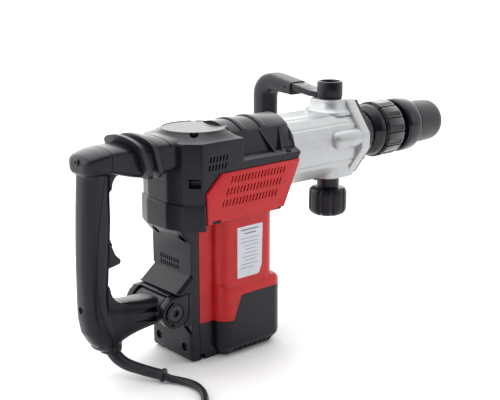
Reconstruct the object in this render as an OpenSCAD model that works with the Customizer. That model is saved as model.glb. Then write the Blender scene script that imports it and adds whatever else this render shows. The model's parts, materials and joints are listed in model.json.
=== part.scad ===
/* [Hammer] */
// Height of the barrel axis above the base
barrel_z = 219.3; // [219:0.1:220]
// Distance of the crank axis behind the motor axis
crank_back = 38.4; // [38.3:0.1:38.5]
// Radius of the striker and piston bore
cylinder_r = 17; // [16.9:0.1:17.2]
// Crank pin eccentricity, half of the piston stroke
crank_throw = 15; // [14:0.5:16]
// Length of the connecting rod between its eyes
rod_len = 62; // [61:0.5:63]

/* [Chuck] */
// Radius of the tool bore, for an 18 mm shank
socket_r = 9.1; // [9.05:0.05:9.2]
// Front end of the chuck along the barrel
nose_x = 366; // [362:1:370]
// Outer radius of the lugged angle ring
ring_r = 35; // [34:0.5:36]
// Number of lugs on the angle ring
ring_lugs = 12; // [8:1:16]
// How far the locking sleeve slides back
sleeve_travel = 6.5; // [4:0.5:6.5]

/* [Motor] */
// Half width of the motor casing
motor_half = 52; // [51:0.5:53]
// Teeth on the motor pinion
pinion_teeth = 10; // [10:1:10]
// Teeth on the crank gear
gear_teeth = 54; // [54:1:54]
// Fan blades
fan_blades = 14; // [10:1:18]

/* [Handles] */
// Height of the rear handle pivot
pivot_z = 63.9; // [63:0.1:65]
// Distance of the rear handle pivot behind the motor axis
pivot_back = 93.3; // [93:0.1:94]
// Length of the main grip section along the barrel
grip_len = 36; // [34:0.5:37]
// Distance of the side handle bolt in front of the motor axis
side_x = 173; // [172:0.5:174]
// Reach of the side grip from its bolt
side_reach = 118; // [112:1:122]
// Radius of the side grip
side_grip_r = 15.5; // [14:0.5:16]

/* [Cord] */
// Diameter of the mains cord
cord_d = 8; // [7:0.5:8.5]
// Mean radius of the stored coil
coil_mean_r = 48; // [44:1:52]
// Turns side by side in the coil
coil_wide = 3; // [3:1:3]
// Turns on top of each other in the coil
coil_high = 4; // [4:1:4]

/* [Hidden] */
$fn = 64;

crank_x = -crank_back;
pivot_x = -pivot_back;
wall = 3;
half = 51;                 // half width of the upper shroud
rear_half = 35.6;          // half width of the rear box
rear_x = -72;              // rear plane of the rear cover
seam_x = -61;              // seam between rear cover and motor casing
front_x = 50;              // front of the end cap
neck_front_x = 39;         // front of the motor neck
deck_z = 160;              // top of the motor casing
shroud_z = 249;            // flat top of the upper shroud
shroud_front_x = 76;       // front rim of the upper shroud
arch_r = 42;               // outer radius of the shroud's arch over the barrel
running = 0.05;            // clearance of a shaft in its bearing
flange_x = 195;            // front face of the barrel flange
gear_module = 2 * crank_back / (pinion_teeth + gear_teeth);
shaft_r = 5;
wrist_x = crank_x + crank_throw + rod_len;
grip_front_x = -155;
grip_rear_x = grip_front_x - grip_len;
grip_half = 15.5;
grip_seam_x = -176;
trigger_x = -158;          // hinge pin of the trigger
trigger_z = 150;
sleeve_x = 288;             // rear edge of the locking sleeve
ring_end_x = sleeve_x - sleeve_travel - 0.5;
socket_x = 302.8;           // rear end of the tool bore
striker_room = 10;          // radius behind the tool bore, around the impact bolt
black = [0.17, 0.17, 0.19];
red = [0.78, 0.18, 0.17];
cast = [0.82, 0.83, 0.84];
steel = [0.62, 0.63, 0.65];
copper = [0.72, 0.42, 0.24];

// ---- cord route, lying on the floor from the guard to the coil ----
cord_points = [
  [-126, -53, 8], [-121, -60, 5], [-115, -69, 4], [-111, -80, 4], [-110, -92, 4],
  [-113, -104, 4], [-119, -116, 4], [-128, -128, 4], [-140, -141, 4],
  [-153, -155, 4], [-167, -170, 4], [-181, -186, 4], [-194, -201, 4], [-205, -213, 4]
];
lead_points = [
  [-182, -303, 28], [-167, -308, 27], [-152, -313, 24], [-138, -318, 21], [-124, -323, 19]
];
coil_centre = [-163, -250];
coil_inner_r = coil_mean_r - coil_wide * cord_d / 2;
coil_outer_r = coil_mean_r + coil_wide * cord_d / 2;
coil_h = coil_high * cord_d;
plug_turn = atan2(-5, 14);
guard_points = [
  [-156, 0, 37], [-155, -2, 28], [-152, -8, 20], [-147, -17, 14.5],
  [-140, -29, 11.5], [-133, -41, 9.5], [-126, -53, 8]
];
guard_r = [8.2, 7.6, 7.1, 6.6, 6.2, 5.9, 5.7];

// ---- helpers ----
module slab(z0, z1) translate([0, 0, z0]) linear_extrude(z1 - z0) children();
module rrect(x0, y0, x1, y1, r) {
  translate([x0 + r, y0]) square([x1 - x0 - 2 * r, y1 - y0]);
  translate([x0, y0 + r]) square([x1 - x0, y1 - y0 - 2 * r]);
  for (x = [x0 + r, x1 - r], y = [y0 + r, y1 - r]) translate([x, y]) circle(r);
}
module box(x0, x1, y0, y1, z0, z1) translate([x0, y0, z0]) cube([x1 - x0, y1 - y0, z1 - z0]);
module x_cyl(x0, x1, r, r2 = -1) {
  translate([x0, 0, barrel_z]) rotate([0, 90, 0]) cylinder(h = x1 - x0, r1 = r, r2 = r2 < 0 ? r : r2);
}
module x_tube(x0, x1, ro, ri) difference() {
  x_cyl(x0, x1, ro);
  x_cyl(x0 - 1, x1 + 1, ri);
}
module x_solid(profile) {
  translate([0, 0, barrel_z]) rotate([0, 90, 0]) rotate([0, 0, 90])
    rotate_extrude() polygon(profile);
}
module z_tube(x, z0, z1, ro, ri) translate([x, 0, z0]) difference() {
  cylinder(h = z1 - z0, r = ro);
  translate([0, 0, -1]) cylinder(h = z1 - z0 + 2, r = ri);
}
module z_cyl(x, z0, z1, r) translate([x, 0, z0]) cylinder(h = z1 - z0, r = r);
module y_cyl(x, z, y0, y1, r) translate([x, y0, z]) rotate([-90, 0, 0]) cylinder(h = y1 - y0, r = r);
// A section in the XZ plane, carried from y0 to y1
module side_cut(y0, y1) translate([0, y1, 0]) rotate([90, 0, 0]) linear_extrude(y1 - y0) children();
// A section in the YZ plane, carried from x0 to x1
module cross_cut(x0, x1) translate([x0, 0, 0]) rotate([90, 0, 90]) linear_extrude(x1 - x0) children();
module mirror_y() {
  children();
  mirror([0, 1, 0]) children();
}

function unit(v) = v / norm(v);
function path_dir(p, i) = unit(p[min(i + 1, len(p) - 1)] - p[max(i - 1, 0)]);
// A round tube swept along points, with a radius for each point
module swept(p, radii, sides = 10) {
  rings = [for (i = [0 : len(p) - 1])
    let (d = path_dir(p, i), a = unit(cross(d, abs(d[2]) > 0.9 ? [1, 0, 0] : [0, 0, 1])), b = cross(a, d))
    for (k = [0 : sides - 1]) p[i] + radii[i] * (cos(360 * k / sides) * a + sin(360 * k / sides) * b)];
  last = (len(p) - 1) * sides;
  polyhedron(rings, concat(
    [[for (k = [0 : sides - 1]) k]],
    [for (i = [0 : len(p) - 2], k = [0 : sides - 1])
      [i * sides + k, (i + 1) * sides + k, (i + 1) * sides + (k + 1) % sides, i * sides + (k + 1) % sides]],
    [[for (k = [sides - 1 : -1 : 0]) last + k]]), convexity = 6);
}
function helix(r, h, turns, per_turn) = [for (i = [0 : turns * per_turn])
  [r * cos(360 * i / per_turn), r * sin(360 * i / per_turn), h * i / (turns * per_turn)]];
module coil_spring(r, h, turns, wire_r) {
  p = helix(r, h, turns, 14);
  swept(p, [for (q = p) wire_r], 6);
}

// ---- outer shells ----
module motor_outline(x1, r) {
  rrect(-42, -motor_half, x1, motor_half, r);
  translate([seam_x, -rear_half]) square([-30 - seam_x, 2 * rear_half]);
}
module motor_room(x1, r) {
  rrect(-42 + wall, -motor_half + wall, x1 - wall, motor_half - wall, r - wall);
  translate([seam_x - 1, -rear_half + wall]) square([-30 - seam_x, 2 * rear_half - 2 * wall]);
}
// Side view of the end cap, whose rim steps down towards the rear
module cap_region() side_cut(-motor_half - 1, motor_half + 1)
  polygon([[seam_x - 1, 0], [front_x + 1, 0], [front_x + 1, 71], [-15, 71], [-25, 41], [seam_x - 1, 41]]);
module motor_housing() color(red) difference() {
  union() {
    slab(41, 79) motor_outline(front_x, 16);
    slab(79, 84) motor_outline(front_x - 4, 17);
    slab(84, deck_z) motor_outline(neck_front_x, 18);
  }
  cap_region();
  slab(40, 79) motor_room(front_x, 16);
  slab(78, deck_z + 1) motor_room(neck_front_x, 18);
}
module motor_end_cap() color(black) difference() {
  union() {
    intersection() {
      slab(9.9, 80) motor_outline(front_x, 16);
      cap_region();
    }
    slab(5, 10) rrect(-40, -48, 46, 48, 15);
    slab(0, 5.1) rrect(-38, -42, 42, 42, 14);
    box(seam_x, -30, -rear_half, rear_half, 0, 10);
  }
  difference() {
    union() {
      slab(12, 81) motor_room(front_x, 16);
      slab(4, 12.1) rrect(-35, -38, 39, 38, 12);
    }
    z_tube(0, 3, 22, 14, 10.5);
  }
  z_cyl(0, 12, 40, 11);
  for (a = [-60 : 12 : 60]) rotate(a) box(30, 60, -1.6, 1.6, 5.5, 9.5);
}
module rear_cover() color(black) difference() {
  union() {
    side_cut(-rear_half, rear_half) polygon([
      [rear_x, 0], [seam_x, 0], [seam_x, 159], [rear_x - 14, 155], [rear_x, 138.5], [rear_x, 101],
      [-92, 84.5], [-90, 82.8], [rear_x, 82.8]]);
    for (s = [0, 1]) mirror([0, s, 0]) side_cut(27, rear_half) difference() {
      translate([-82, 44]) square([12, 38]);
      ear_outline(0.4);
    }
  }
  side_cut(-rear_half + wall, rear_half - wall)
    polygon([[rear_x + wall, 4], [seam_x + 1, 4], [seam_x + 1, 155], [rear_x + wall, 150]]);
  for (i = [0 : 8], z = [103.5, 110]) translate([rear_x - 1, 20 - 4 * i - 1, z]) cube([6, 2, 5]);
  for (y = [-25, 25], z = [16, 146]) translate([rear_x - 20, y, z]) rotate([0, 90, 0]) cylinder(h = 19, r = 4);
  for (y = [-25, 25], z = [16, 146]) translate([rear_x - 2, y, z]) rotate([0, 90, 0]) cylinder(h = 6, r = 2.1);
  // The shroud's round rear stands over the cover
  z_cyl(crank_x, 154.9, 170, 70);
}
module neck_section(grow) {
  polygon([for (a = [0 : 10 : 180]) [(30 + grow) * cos(a), 248 + (7 + grow) * sin(a)],
    for (a = [180 : 15 : 270]) [-16 + (14 + grow) * cos(a), 231 + (14 + grow) * sin(a)],
    for (a = [270 : 15 : 360]) [16 + (14 + grow) * cos(a), 231 + (14 + grow) * sin(a)]]);
}
module shroud_plan(inset) {
  translate([crank_x, 0]) circle(half - inset);
  rrect(rear_x + inset, -half + inset, 60, half - inset, 8);
}
module upper_shroud() color(black) difference() {
  union() {
    slab(deck_z, 224) {
      shroud_plan(0);
      translate([0, -half]) square([shroud_front_x - 2, 2 * half]);
    }
    slab(155, deck_z) difference() {
      shroud_plan(0);
      translate([seam_x + 1, -half - 1]) square([200, 2 * half + 2]);
      translate([seam_x - 12, -32]) square([20, 64]);
    }
    slab(223, shroud_z) difference() {
      shroud_plan(0);
      translate([-8, -60]) square([100, 120]);
    }
    x_cyl(-8, shroud_front_x, arch_r);
    x_cyl(8, 14, arch_r + 1.6);
    x_cyl(36, 42, arch_r + 1.6);
    cross_cut(-106, -70) neck_section(0);
  }
  // Slanted lower front corner
  side_cut(-60, 60) polygon([[46, 150], [80, 150], [80, 224], [74, 216]]);
  slab(150, 245) intersection() {
    shroud_plan(4);
    translate([-100, -60]) square([100, 120]);
  }
  slab(deck_z - 1, 220) translate([-4, -half + 4]) square([100, 2 * half - 8]);
  x_cyl(-8, 80, arch_r - 4);
  cross_cut(-107, -60) neck_section(-3.5);
  z_cyl(crank_x, 240, shroud_z + 1, 40);
  translate([crank_x, 0, shroud_z]) cylinder(h = 20, r1 = 47.3, r2 = 36.8);
  for (a = [45 : 90 : 315]) translate([crank_x, 0, 0]) rotate(a) z_cyl(41.5, 238, shroud_z + 1, 2.1);
  // Seats of the side panels
  mirror_y() side_cut(half - 0.2, half + 5) panel_outline();
}
module top_cap() color(black) {
  difference() {
    union() {
      translate([crank_x, 0, shroud_z]) cylinder(h = 7.5, r1 = 46.5, r2 = 37);
      z_cyl(crank_x, shroud_z + 7, 258.5, 36);
      z_cyl(crank_x, 240.5, shroud_z + 1, 39.6);
    }
    z_cyl(crank_x, 240, 246, 36);
    for (a = [45 : 90 : 315]) translate([crank_x, 0, 0]) rotate(a) z_cyl(41.5, 240, 260, 2.1);
    for (a = [45 : 90 : 315]) translate([crank_x, 0, 0]) rotate(a) z_cyl(41.5, 251, 260, 4);
  }
}
module panel_outline() polygon([[-62.4, 161.4], [35.2, 161.4], [37, 163.4], [47.5, 163.4],
  [72.4, 214.6], [-41.6, 213.9], [-62.4, 195.8]]);
module panel_slots() for (row = [0 : 2], i = [0 : 16])
  translate([-48 + 7 * row + 5.2 * i, 176 + 13.5 * row]) rotate(-24) square([2, 8.5], center = true);
module side_panel_right() color(red) side_cut(-54, -half + 0.2) difference() {
  panel_outline();
  panel_slots();
}
module side_panel_left() color(red) mirror([0, 1, 0]) side_cut(-54, -half + 0.2) difference() {
  panel_outline();
  panel_slots();
}
module ear_outline(grow) {
  translate([pivot_x, pivot_z]) circle(17.5 + grow);
  polygon([[pivot_x, 81.4 + grow], [-76.4 + grow, 82.4 + grow], [-76.4 + grow, 70 - grow], [pivot_x, 60]]);
}
module pivot_bracket() color(black) difference() {
  union() {
    mirror_y() side_cut(26, rear_half) ear_outline(0);
    box(-97, rear_x, -27, 27, 80.6, 82.7);
    box(-75.9, rear_x, -26.9, 26.9, 46, 82);
  }
  y_cyl(pivot_x, pivot_z, -40, 40, 6.05);
  y_cyl(pivot_x, pivot_z, -40, -30, 10.2);
  y_cyl(pivot_x, pivot_z, 30, 40, 10.2);
}
module barrel_section() {
  polygon([for (s = [1, -1]) each let (h = [[21, 34.4], [27.5, 31], [35, 22], [40, 9], [40, -9], [36, -24],
    [30, -33], [16, -44.6]]) s > 0 ? [for (q = h) [q[0], barrel_z + q[1]]]
    : [for (i = [len(h) - 1 : -1 : 0]) [-h[i][0], barrel_z + h[i][1]]]]);
}
module flange_section(inset) polygon([for (q = [[20, -48.3], [49, -8], [49, 8], [20, 48.5], [-20, 48.5],
  [-49, 8], [-49, -8], [-20, -48.3]]) [q[0] * (49 - inset) / 49, barrel_z + q[1] * (49 - inset) / 49]]);
module barrel_housing() color(cast) difference() {
  union() {
    x_cyl(30, shroud_front_x + 1, arch_r - 4.5);
    cross_cut(shroud_front_x + 0.4, 182) barrel_section();
    cross_cut(181, flange_x) flange_section(0);
    slab(171, 267.8) {
      translate([side_x, 0]) circle(20);
      translate([side_x, -20]) square([flange_x - side_x, 40]);
    }
    for (y = [-39, 39]) translate([158, y, barrel_z]) rotate([0, 90, 0]) cylinder(h = 36, r = 9.5);
  }
  x_cyl(20, 187, 21.05);
  x_cyl(186.5, flange_x + 1, 28.4);
  z_cyl(side_x, 246, 270, 5);
  z_cyl(side_x, 160, 191, 5.05);
  for (a = [45 : 90 : 315]) translate([170, 0, barrel_z]) rotate([a, 0, 0])
    translate([0, 0, 35]) rotate([0, 90, 0]) cylinder(h = 30, r = 2.6);
}
module front_plate() color(black) difference() {
  union() {
    cross_cut(flange_x, flange_x + 7) flange_section(3);
    x_cyl(flange_x, flange_x + 10, 30);
  }
  x_cyl(190, 210, 25.8);
  for (a = [45 : 90 : 315]) translate([190, 0, barrel_z]) rotate([a, 0, 0])
    translate([0, 0, 35]) rotate([0, 90, 0]) cylinder(h = 30, r = 2.65);
}

// ---- fasteners and label ----
module head_screw(h_len, h_r, s_len, s_r) {
  difference() {
    cylinder(h = h_len, r = h_r);
    translate([0, 0, h_len - 2]) cylinder(h = 3, r = h_r * 0.5, $fn = 6);
  }
  translate([0, 0, -s_len]) cylinder(h = s_len + 0.5, r = s_r);
}
module housing_screws() color(steel) {
  for (y = [-25, 25], z = [16, 146]) translate([rear_x - 1, y, z]) rotate([0, -90, 0])
    head_screw(3.5, 3.8, 8, 2);
  for (a = [45 : 90 : 315]) translate([crank_x, 0, 0]) rotate(a) translate([41.5, 0, 251])
    head_screw(3.5, 3.8, 9.5, 2);
}
module flange_screws() color(black) for (a = [45 : 90 : 315])
  translate([flange_x + 7, 0, barrel_z]) rotate([a, 0, 0]) translate([0, 0, 35]) rotate([0, 90, 0])
    head_screw(6, 4.6, 24, 2.55);
module rating_label() color("white") box(-14, 25, -motor_half - 0.4, -motor_half, 76, 136);

// ---- hammer mechanism ----
module crank_case() color(cast) difference() {
  union() {
    z_cyl(crank_x, deck_z + 0.2, 239, 46.6);
    z_cyl(0, deck_z + 0.2, 192, 18);
    x_cyl(2, 29.8, 27);
  }
  z_cyl(crank_x, 174, 190, 38);
  z_cyl(crank_x, 202, 241, 38);
  z_cyl(crank_x, 162, 173, 13);
  z_cyl(crank_x, 150, 240, 10.5);
  z_cyl(crank_x, 190, 201, 14);
  z_cyl(0, 162, 173, 13);
  z_cyl(0, 172, 191, 8.6);
  z_cyl(0, 150, 170, 7);
  x_cyl(-30, 40, 21.05);
}
module hammer_cylinder() color(steel) x_tube(2, 133, 21, cylinder_r);
module bolt_guides() color("goldenrod") {
  x_tube(134, 144, 21, 10.06);
  x_tube(145, 173, 21, 13.06);
  x_tube(173, 186, 21, 8.96);
}
module impact_bolt() color(steel) x_solid([[0, 126], [9, 126], [10, 127], [10, 146], [13, 146],
  [13, 162], [8.9, 162], [8.9, 230], [7.5, 232], [0, 232]]);
module striker() color(steel) x_solid([[0, 78], [15.5, 78], [16.95, 79.5], [16.95, 86], [15.6, 86],
  [15.6, 90], [16.95, 90], [16.95, 108], [11, 110], [11, 121], [10, 122], [0, 122]]);
module piston() color("silver") difference() {
  x_solid([[0, wrist_x - 10], [16.95, wrist_x - 10], [16.95, wrist_x + 14], [15.6, wrist_x + 14],
    [15.6, wrist_x + 17], [16.95, wrist_x + 17], [16.95, wrist_x + 21], [0, wrist_x + 21]]);
  translate([wrist_x - 11, -14, barrel_z - 8.4]) cube([22, 28, 16.8]);
  z_cyl(wrist_x, 190, 250, 4);
}
module wrist_pin() color(steel) z_cyl(wrist_x, barrel_z - 15.8, barrel_z + 15.8, 4);
module connecting_rod() color(steel) difference() {
  union() {
    z_cyl(wrist_x, barrel_z - 7, barrel_z + 7, 9);
    z_cyl(wrist_x - rod_len, barrel_z - 7, barrel_z + 7, 12);
    box(wrist_x - rod_len, wrist_x, -5, 5, barrel_z - 5, barrel_z + 5);
  }
  z_cyl(wrist_x, 200, 240, 4.05);
  z_cyl(wrist_x - rod_len, 200, 240, 6.1);
}
module crankshaft() color(steel) {
  z_cyl(crank_x, 163, 203, 9);
  z_cyl(crank_x, 202.6, 209.5, 29);
  z_cyl(crank_x + crank_throw, 209, 211.9, 6);
}
module tooth_wheel(teeth, face, bore_r) linear_extrude(face) difference() {
  union() {
    circle(r = gear_module * (teeth - 2.5) / 2);
    for (i = [0 : teeth - 1]) rotate(360 * i / teeth) polygon([
      [gear_module * (teeth - 2.7) / 2, -0.86 * gear_module], [gear_module * teeth / 2, -0.62 * gear_module],
      [gear_module * (teeth + 1.6) / 2, -0.3 * gear_module], [gear_module * (teeth + 1.6) / 2, 0.3 * gear_module],
      [gear_module * teeth / 2, 0.62 * gear_module], [gear_module * (teeth - 2.7) / 2, 0.86 * gear_module]]);
  }
  circle(r = bore_r);
}
module crank_gear() color("dimgray") translate([crank_x, 0, 175]) rotate(180 / gear_teeth)
  tooth_wheel(gear_teeth, 13, 9);
module bearing(x, z0, z1, ro, ri) {
  z_tube(x, z0, z1, ro, ro - 2.2);
  z_tube(x, z0 + 1, z1 - 1, ro - 2.2, ri + 2.2);
  z_tube(x, z0, z1, ri + 2.2, ri + running);
}
module crank_bearings() color(steel) {
  bearing(crank_x, 162, 172.5, 13, 9);
  bearing(crank_x, 190, 200.5, 14, 9);
}

// ---- motor ----
module armature_shaft() color(steel) {
  z_cyl(0, 12.5, 176, shaft_r);
  translate([0, 0, 175]) rotate(180) tooth_wheel(pinion_teeth, 14, 0.01);
}
module armature_core() color("dimgray") difference() {
  union() {
    slab(66, 128) difference() {
      circle(24);
      for (i = [0 : 21]) rotate(360 * i / 22) translate([22, 0]) square([5, 1.6], center = true);
    }
    z_cyl(0, 57, 66.1, 19);
    z_cyl(0, 127.9, 137, 19);
  }
  z_cyl(0, 50, 140, shaft_r);
}
module commutator() color(copper) slab(34, 54) difference() {
  circle(13);
  for (i = [0 : 23]) rotate(15 * i) translate([13, 0]) square([2, 0.5], center = true);
  circle(shaft_r);
}
module cooling_fan() color("black") {
  z_tube(0, 141, 143, 32, shaft_r);
  z_tube(0, 142.9, 152, 9, shaft_r);
  for (i = [0 : fan_blades - 1]) rotate(360 * i / fan_blades) translate([8.9, -0.8, 142.9]) cube([22.5, 1.6, 8.6]);
}
module stator() color("gray") {
  slab(64, 130) difference() {
    intersection() {
      circle(46);
      square([71, 92], center = true);
    }
    circle(24.7);
  }
  color(copper) for (s = [0, 180]) rotate(s) for (z = [[55, 63.9], [130.1, 139]])
    slab(z[0], z[1]) intersection() {
      difference() {
        circle(36);
        circle(27);
      }
      translate([-30, 8]) square([60, 40]);
    }
}
module armature_bearings() color(steel) {
  bearing(0, 12.5, 21.5, 11, shaft_r);
  bearing(0, 162, 172, 13, shaft_r);
}
module brush_holders() color("goldenrod") mirror_y() difference() {
  box(-5.6, 5.6, 16, 40, 37, 51);
  box(-4, 4, 15, 38, 39, 49);
}
module carbon_brushes() color([0.2, 0.2, 0.2]) mirror_y() box(-3.9, 3.9, 13.3, 32, 39.1, 48.9);
module speed_control() color([0.1, 0.35, 0.2]) {
  box(-58, -54, -26, 26, 62, 126);
  color(black) box(-53.9, -44, -20, 4, 70, 118);
  color(steel) for (z = [66 : 8 : 114]) box(-53.9, -47, 10, 24, z, z + 3);
}

// ---- rear handle ----
module arm_section(drop) polygon([for (a = [0 : 12 : 180]) [24 * cos(a), 247 + 5 * sin(a)],
  for (a = [180 : 15 : 270]) [-14 + 10 * cos(a), 232 - drop + 10 * sin(a)],
  for (a = [270 : 15 : 360]) [14 + 10 * cos(a), 232 - drop + 10 * sin(a)]]);
module handle_form() {
  slab(34, 248) rrect(grip_rear_x, -grip_half, grip_front_x, grip_half, 14);
  slab(222, 252) rrect(grip_rear_x + 3, -22, -150, 22, 14);
  cross_cut(-162, -144) arm_section(2);
  cross_cut(-145, -128) arm_section(8);
  side_cut(-22, 22) polygon([[-176, 40], [-166, 33], [-148, 36], [-128, 44], [-96, 47.5], [-96, 80], [-140, 82],
    [-154, 86], [-166, 84]]);
  y_cyl(pivot_x, pivot_z, -24.5, 24.5, 16.3);
}
// The two shells meet along a line that bows back through the grip
module handle_split() side_cut(-40, 40) polygon([[-220, 20], [-160, 20], [-163, 44], [-173, 66], [-178, 88],
  [-178.5, 112], [grip_seam_x, 143], [-166, 222], [-160, 231], [-160, 270], [-220, 270]]);
module handle_core() {
  slab(52, 236) rrect(grip_rear_x + 4, -grip_half + 3.5, grip_front_x - 4, grip_half - 3.5, 9);
  cross_cut(-170, -120) translate([0, 239]) square([30, 16], center = true);
}
module guard_hole() translate(guard_points[0] - [0, 0, 7]) cylinder(h = 30, r = guard_r[0] + 0.4);
module handle_rear_shell() color(black) difference() {
  intersection() {
    handle_form();
    handle_split();
  }
  handle_core();
  guard_hole();
  for (z = [82, 240]) translate([-200, 0, z]) rotate([0, 90, 0]) cylinder(h = 60, r = 2.1);
  for (z = [82, 240]) translate([-220, 0, z]) rotate([0, 90, 0]) cylinder(h = 34, r = 4);
}
module handle_front_shell() color(black) difference() {
  handle_form();
  handle_split();
  handle_core();
  box(-182, -150, -9.6, 9.6, 112, 158);
  y_cyl(pivot_x, pivot_z, -30, 30, 9.05);
  guard_hole();
  for (s = [0, 1]) mirror([0, s, 0]) side_cut(17.5, 23) {
    polygon([[-146, 68], [-108, 72], [-108, 68], [-146, 65]]);
    polygon([[-146, 57], [-108, 59], [-108, 55], [-146, 54]]);
  }
  y_cyl(trigger_x, trigger_z, -12, 12, 1.6);
}
module handle_screws() color(steel) {
  for (z = [82, 240]) translate([grip_rear_x + 5, 0, z]) rotate([0, -90, 0]) head_screw(3, 3.8, 8, 2);
  // Hinge pin of the trigger
  y_cyl(trigger_x, trigger_z, -11.9, 11.9, 1.6);
}
module power_switch() color(black) {
  box(-184.5, -173.5, -8, 8, 100, 160);
  color("darkred") box(-173.5, -171.5, -5, 5, 138, 146);
}
module trigger() color("black") difference() {
  side_cut(-9, 9) polygon([[-162, 155], [-156.5, 155], [-153.5, 146], [-139, 123.5], [-140.5, 119.5],
    [-160, 117.5], [-163, 122]]);
  y_cyl(trigger_x, trigger_z, -12, 12, 1.66);
}
module pivot_bushes() color("goldenrod") mirror_y() {
  difference() {
    y_cyl(pivot_x, pivot_z, 8, 25.6, 9);
    y_cyl(pivot_x, pivot_z, 7, 27, 6.06);
  }
}
module pivot_bolt() color(steel) {
  y_cyl(pivot_x, pivot_z, -30.5, 35, 6);
  difference() {
    y_cyl(pivot_x, pivot_z, -35, -30, 9.2);
    translate([pivot_x, -32, pivot_z]) rotate([90, 0, 0]) cylinder(h = 5, r = 4.6, $fn = 6);
  }
  difference() {
    translate([pivot_x, 30, pivot_z]) rotate([-90, 0, 0]) cylinder(h = 5.2, r = 9.6, $fn = 6);
    y_cyl(pivot_x, pivot_z, 29, 36, 6);
  }
}
module bellows() color([0.12, 0.12, 0.13]) difference() {
  union() {
    cross_cut(-126.8, -119.5) neck_section(4);
    cross_cut(-120, -111.5) neck_section(0);
    cross_cut(-112, -106.3) neck_section(4);
  }
  cross_cut(-130, -100) neck_section(-4);
}
module damper_spring() color(steel) translate([-126.2, 0, 236]) rotate([0, 90, 0])
  coil_spring(8, 38, 6, 1.3);

// ---- cord ----
module cord_guard() color(black) {
  difference() {
    swept(guard_points, guard_r, 12);
    swept([guard_points[5], guard_points[6], 2 * guard_points[6] - guard_points[5]], [0.1, 0.1, 0.1], 4);
  }
}
module power_cord() color(black) swept(cord_points, [for (p = cord_points) cord_d / 2], 10);
module plug_lead() color(black) swept(lead_points, [for (p = lead_points) cord_d / 2], 10);
module cord_coil() color(black) translate([coil_centre[0], coil_centre[1], 0]) rotate_extrude()
  translate([coil_inner_r, 0]) square([coil_outer_r - coil_inner_r, coil_h]);
module cord_tie() color("dimgray") translate([coil_centre[0], coil_centre[1], 0]) rotate(-20) difference() {
  box(coil_inner_r - 1.5, coil_outer_r + 1.5, -7, 7, 0, coil_h + 1.5);
  box(coil_inner_r, coil_outer_r, -8, 8, 0.8, coil_h);
}
module on_plug() translate([lead_points[4][0], lead_points[4][1], 19]) rotate(plug_turn) rotate([0, 90, 0])
  children();
module plug_body() color(black) on_plug() {
  cylinder(h = 22, r1 = 6.5, r2 = 12);
  translate([0, 0, 21.9]) cylinder(h = 16, r = 18.6);
}
module plug_pins() color(steel) on_plug() for (y = [-9.5, 9.5]) translate([0, y, 37.9])
  cylinder(h = 19, r = 2.4);

// ---- side handle ----
module arm_bar(y1, h, w) translate([side_x - w / 2, 0, 268.2]) cube([w, y1, h]);
module both_ends() {
  children();
  translate([0, 0, 2 * barrel_z]) mirror([0, 0, 1]) children();
}
module side_handle_frame() color(black) difference() {
  union() {
    z_cyl(side_x, 268.2, 289, 15.7);
    z_cyl(side_x, 157, 2 * barrel_z - 268.2, 14);
    both_ends() arm_bar(58, 12, 24);
    both_ends() arm_bar(side_reach, 10, 14);
    translate([side_x, side_reach, 163]) cylinder(h = 112, r = 7);
  }
  z_cyl(side_x, 260, 300, 5.3);
  z_cyl(side_x, 276, 300, 11.4);
  z_cyl(side_x, 150, 175, 5.3);
}
module side_grip() color([0.15, 0.15, 0.16]) difference() {
  union() {
    both_ends() translate([side_x - 14, 54, 267.8]) cube([28, side_reach - 54, 17]);
    translate([side_x, side_reach, 2 * barrel_z - 284.8]) cylinder(h = 2 * (284.8 - barrel_z), r = side_grip_r);
  }
  both_ends() arm_bar(58, 12, 24);
  both_ends() arm_bar(side_reach, 10, 14);
  translate([side_x, side_reach, 163]) cylinder(h = 112, r = 7);
}
module side_handle_screw() color(steel) {
  z_cyl(side_x, 247, 277, 5);
  difference() {
    translate([side_x, 0, 276.2]) cylinder(h = 7, r = 9.8, $fn = 6);
    z_cyl(side_x, 280, 284, 4);
  }
}
module clamp_knob() color(black) {
  difference() {
    z_cyl(side_x, 121, 156.6, 24);
    for (i = [0 : 11]) translate([side_x, 0, 0]) rotate(30 * i) z_cyl(26.2, 119, 150, 4);
    z_cyl(side_x, 120, 123, 17);
  }
  color(steel) z_cyl(side_x, 156, 190, 5);
}

// ---- chuck ----
module tool_holder() color([0.2, 0.2, 0.22]) difference() {
  x_solid([[striker_room, 187.2], [28, 187.2], [28, 194.6], [25.5, 194.6], [25.5, 283], [20, 283], [20, 346],
    [18, 352], [socket_r + 1, 352], [socket_r, 351], [socket_r, socket_x], [striker_room, socket_x]]);
  for (y = [-1, 1]) translate([285.6, y > 0 ? 6 : -22, barrel_z - 4.3]) cube([16.8, 16, 8.6]);
}
module lock_segment(s) color(steel) intersection() {
  translate([286, s > 0 ? 7.2 : -19.9, barrel_z - 4.2]) cube([16, 12.7, 8.4]);
  x_cyl(280, 310, 19.9);
}
module lock_segment_left() lock_segment(1);
module lock_segment_right() lock_segment(-1);
module angle_ring() color([0.18, 0.18, 0.2]) difference() {
  union() {
    x_solid([[25.56, 229], [28, 229], [32.5, 238], [32.5, 244], [ring_r - 1.5, 248], [ring_r - 1.5, 275],
      [ring_r - 3.5, ring_end_x], [25.56, ring_end_x]]);
    for (i = [0 : ring_lugs - 1]) translate([0, 0, barrel_z]) rotate([360 * (i + 0.5) / ring_lugs, 0, 0])
      translate([242, -6.6, 30]) cube([36, 13.2, ring_r - 30 + 0.8]);
  }
  x_cyl(220, 290, 25.56);
}
module locking_sleeve() color([0.18, 0.18, 0.2]) x_solid([[26.2, sleeve_x], [33.5, sleeve_x], [ring_r, 291], [ring_r, 309],
  [29, 318], [20.06, 318], [20.06, 312], [26.2, 312]]);
module sleeve_spring() color(steel) translate([284.6, 0, barrel_z]) rotate([0, 90, 0]) coil_spring(24.2, 26, 4, 0.9);
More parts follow.
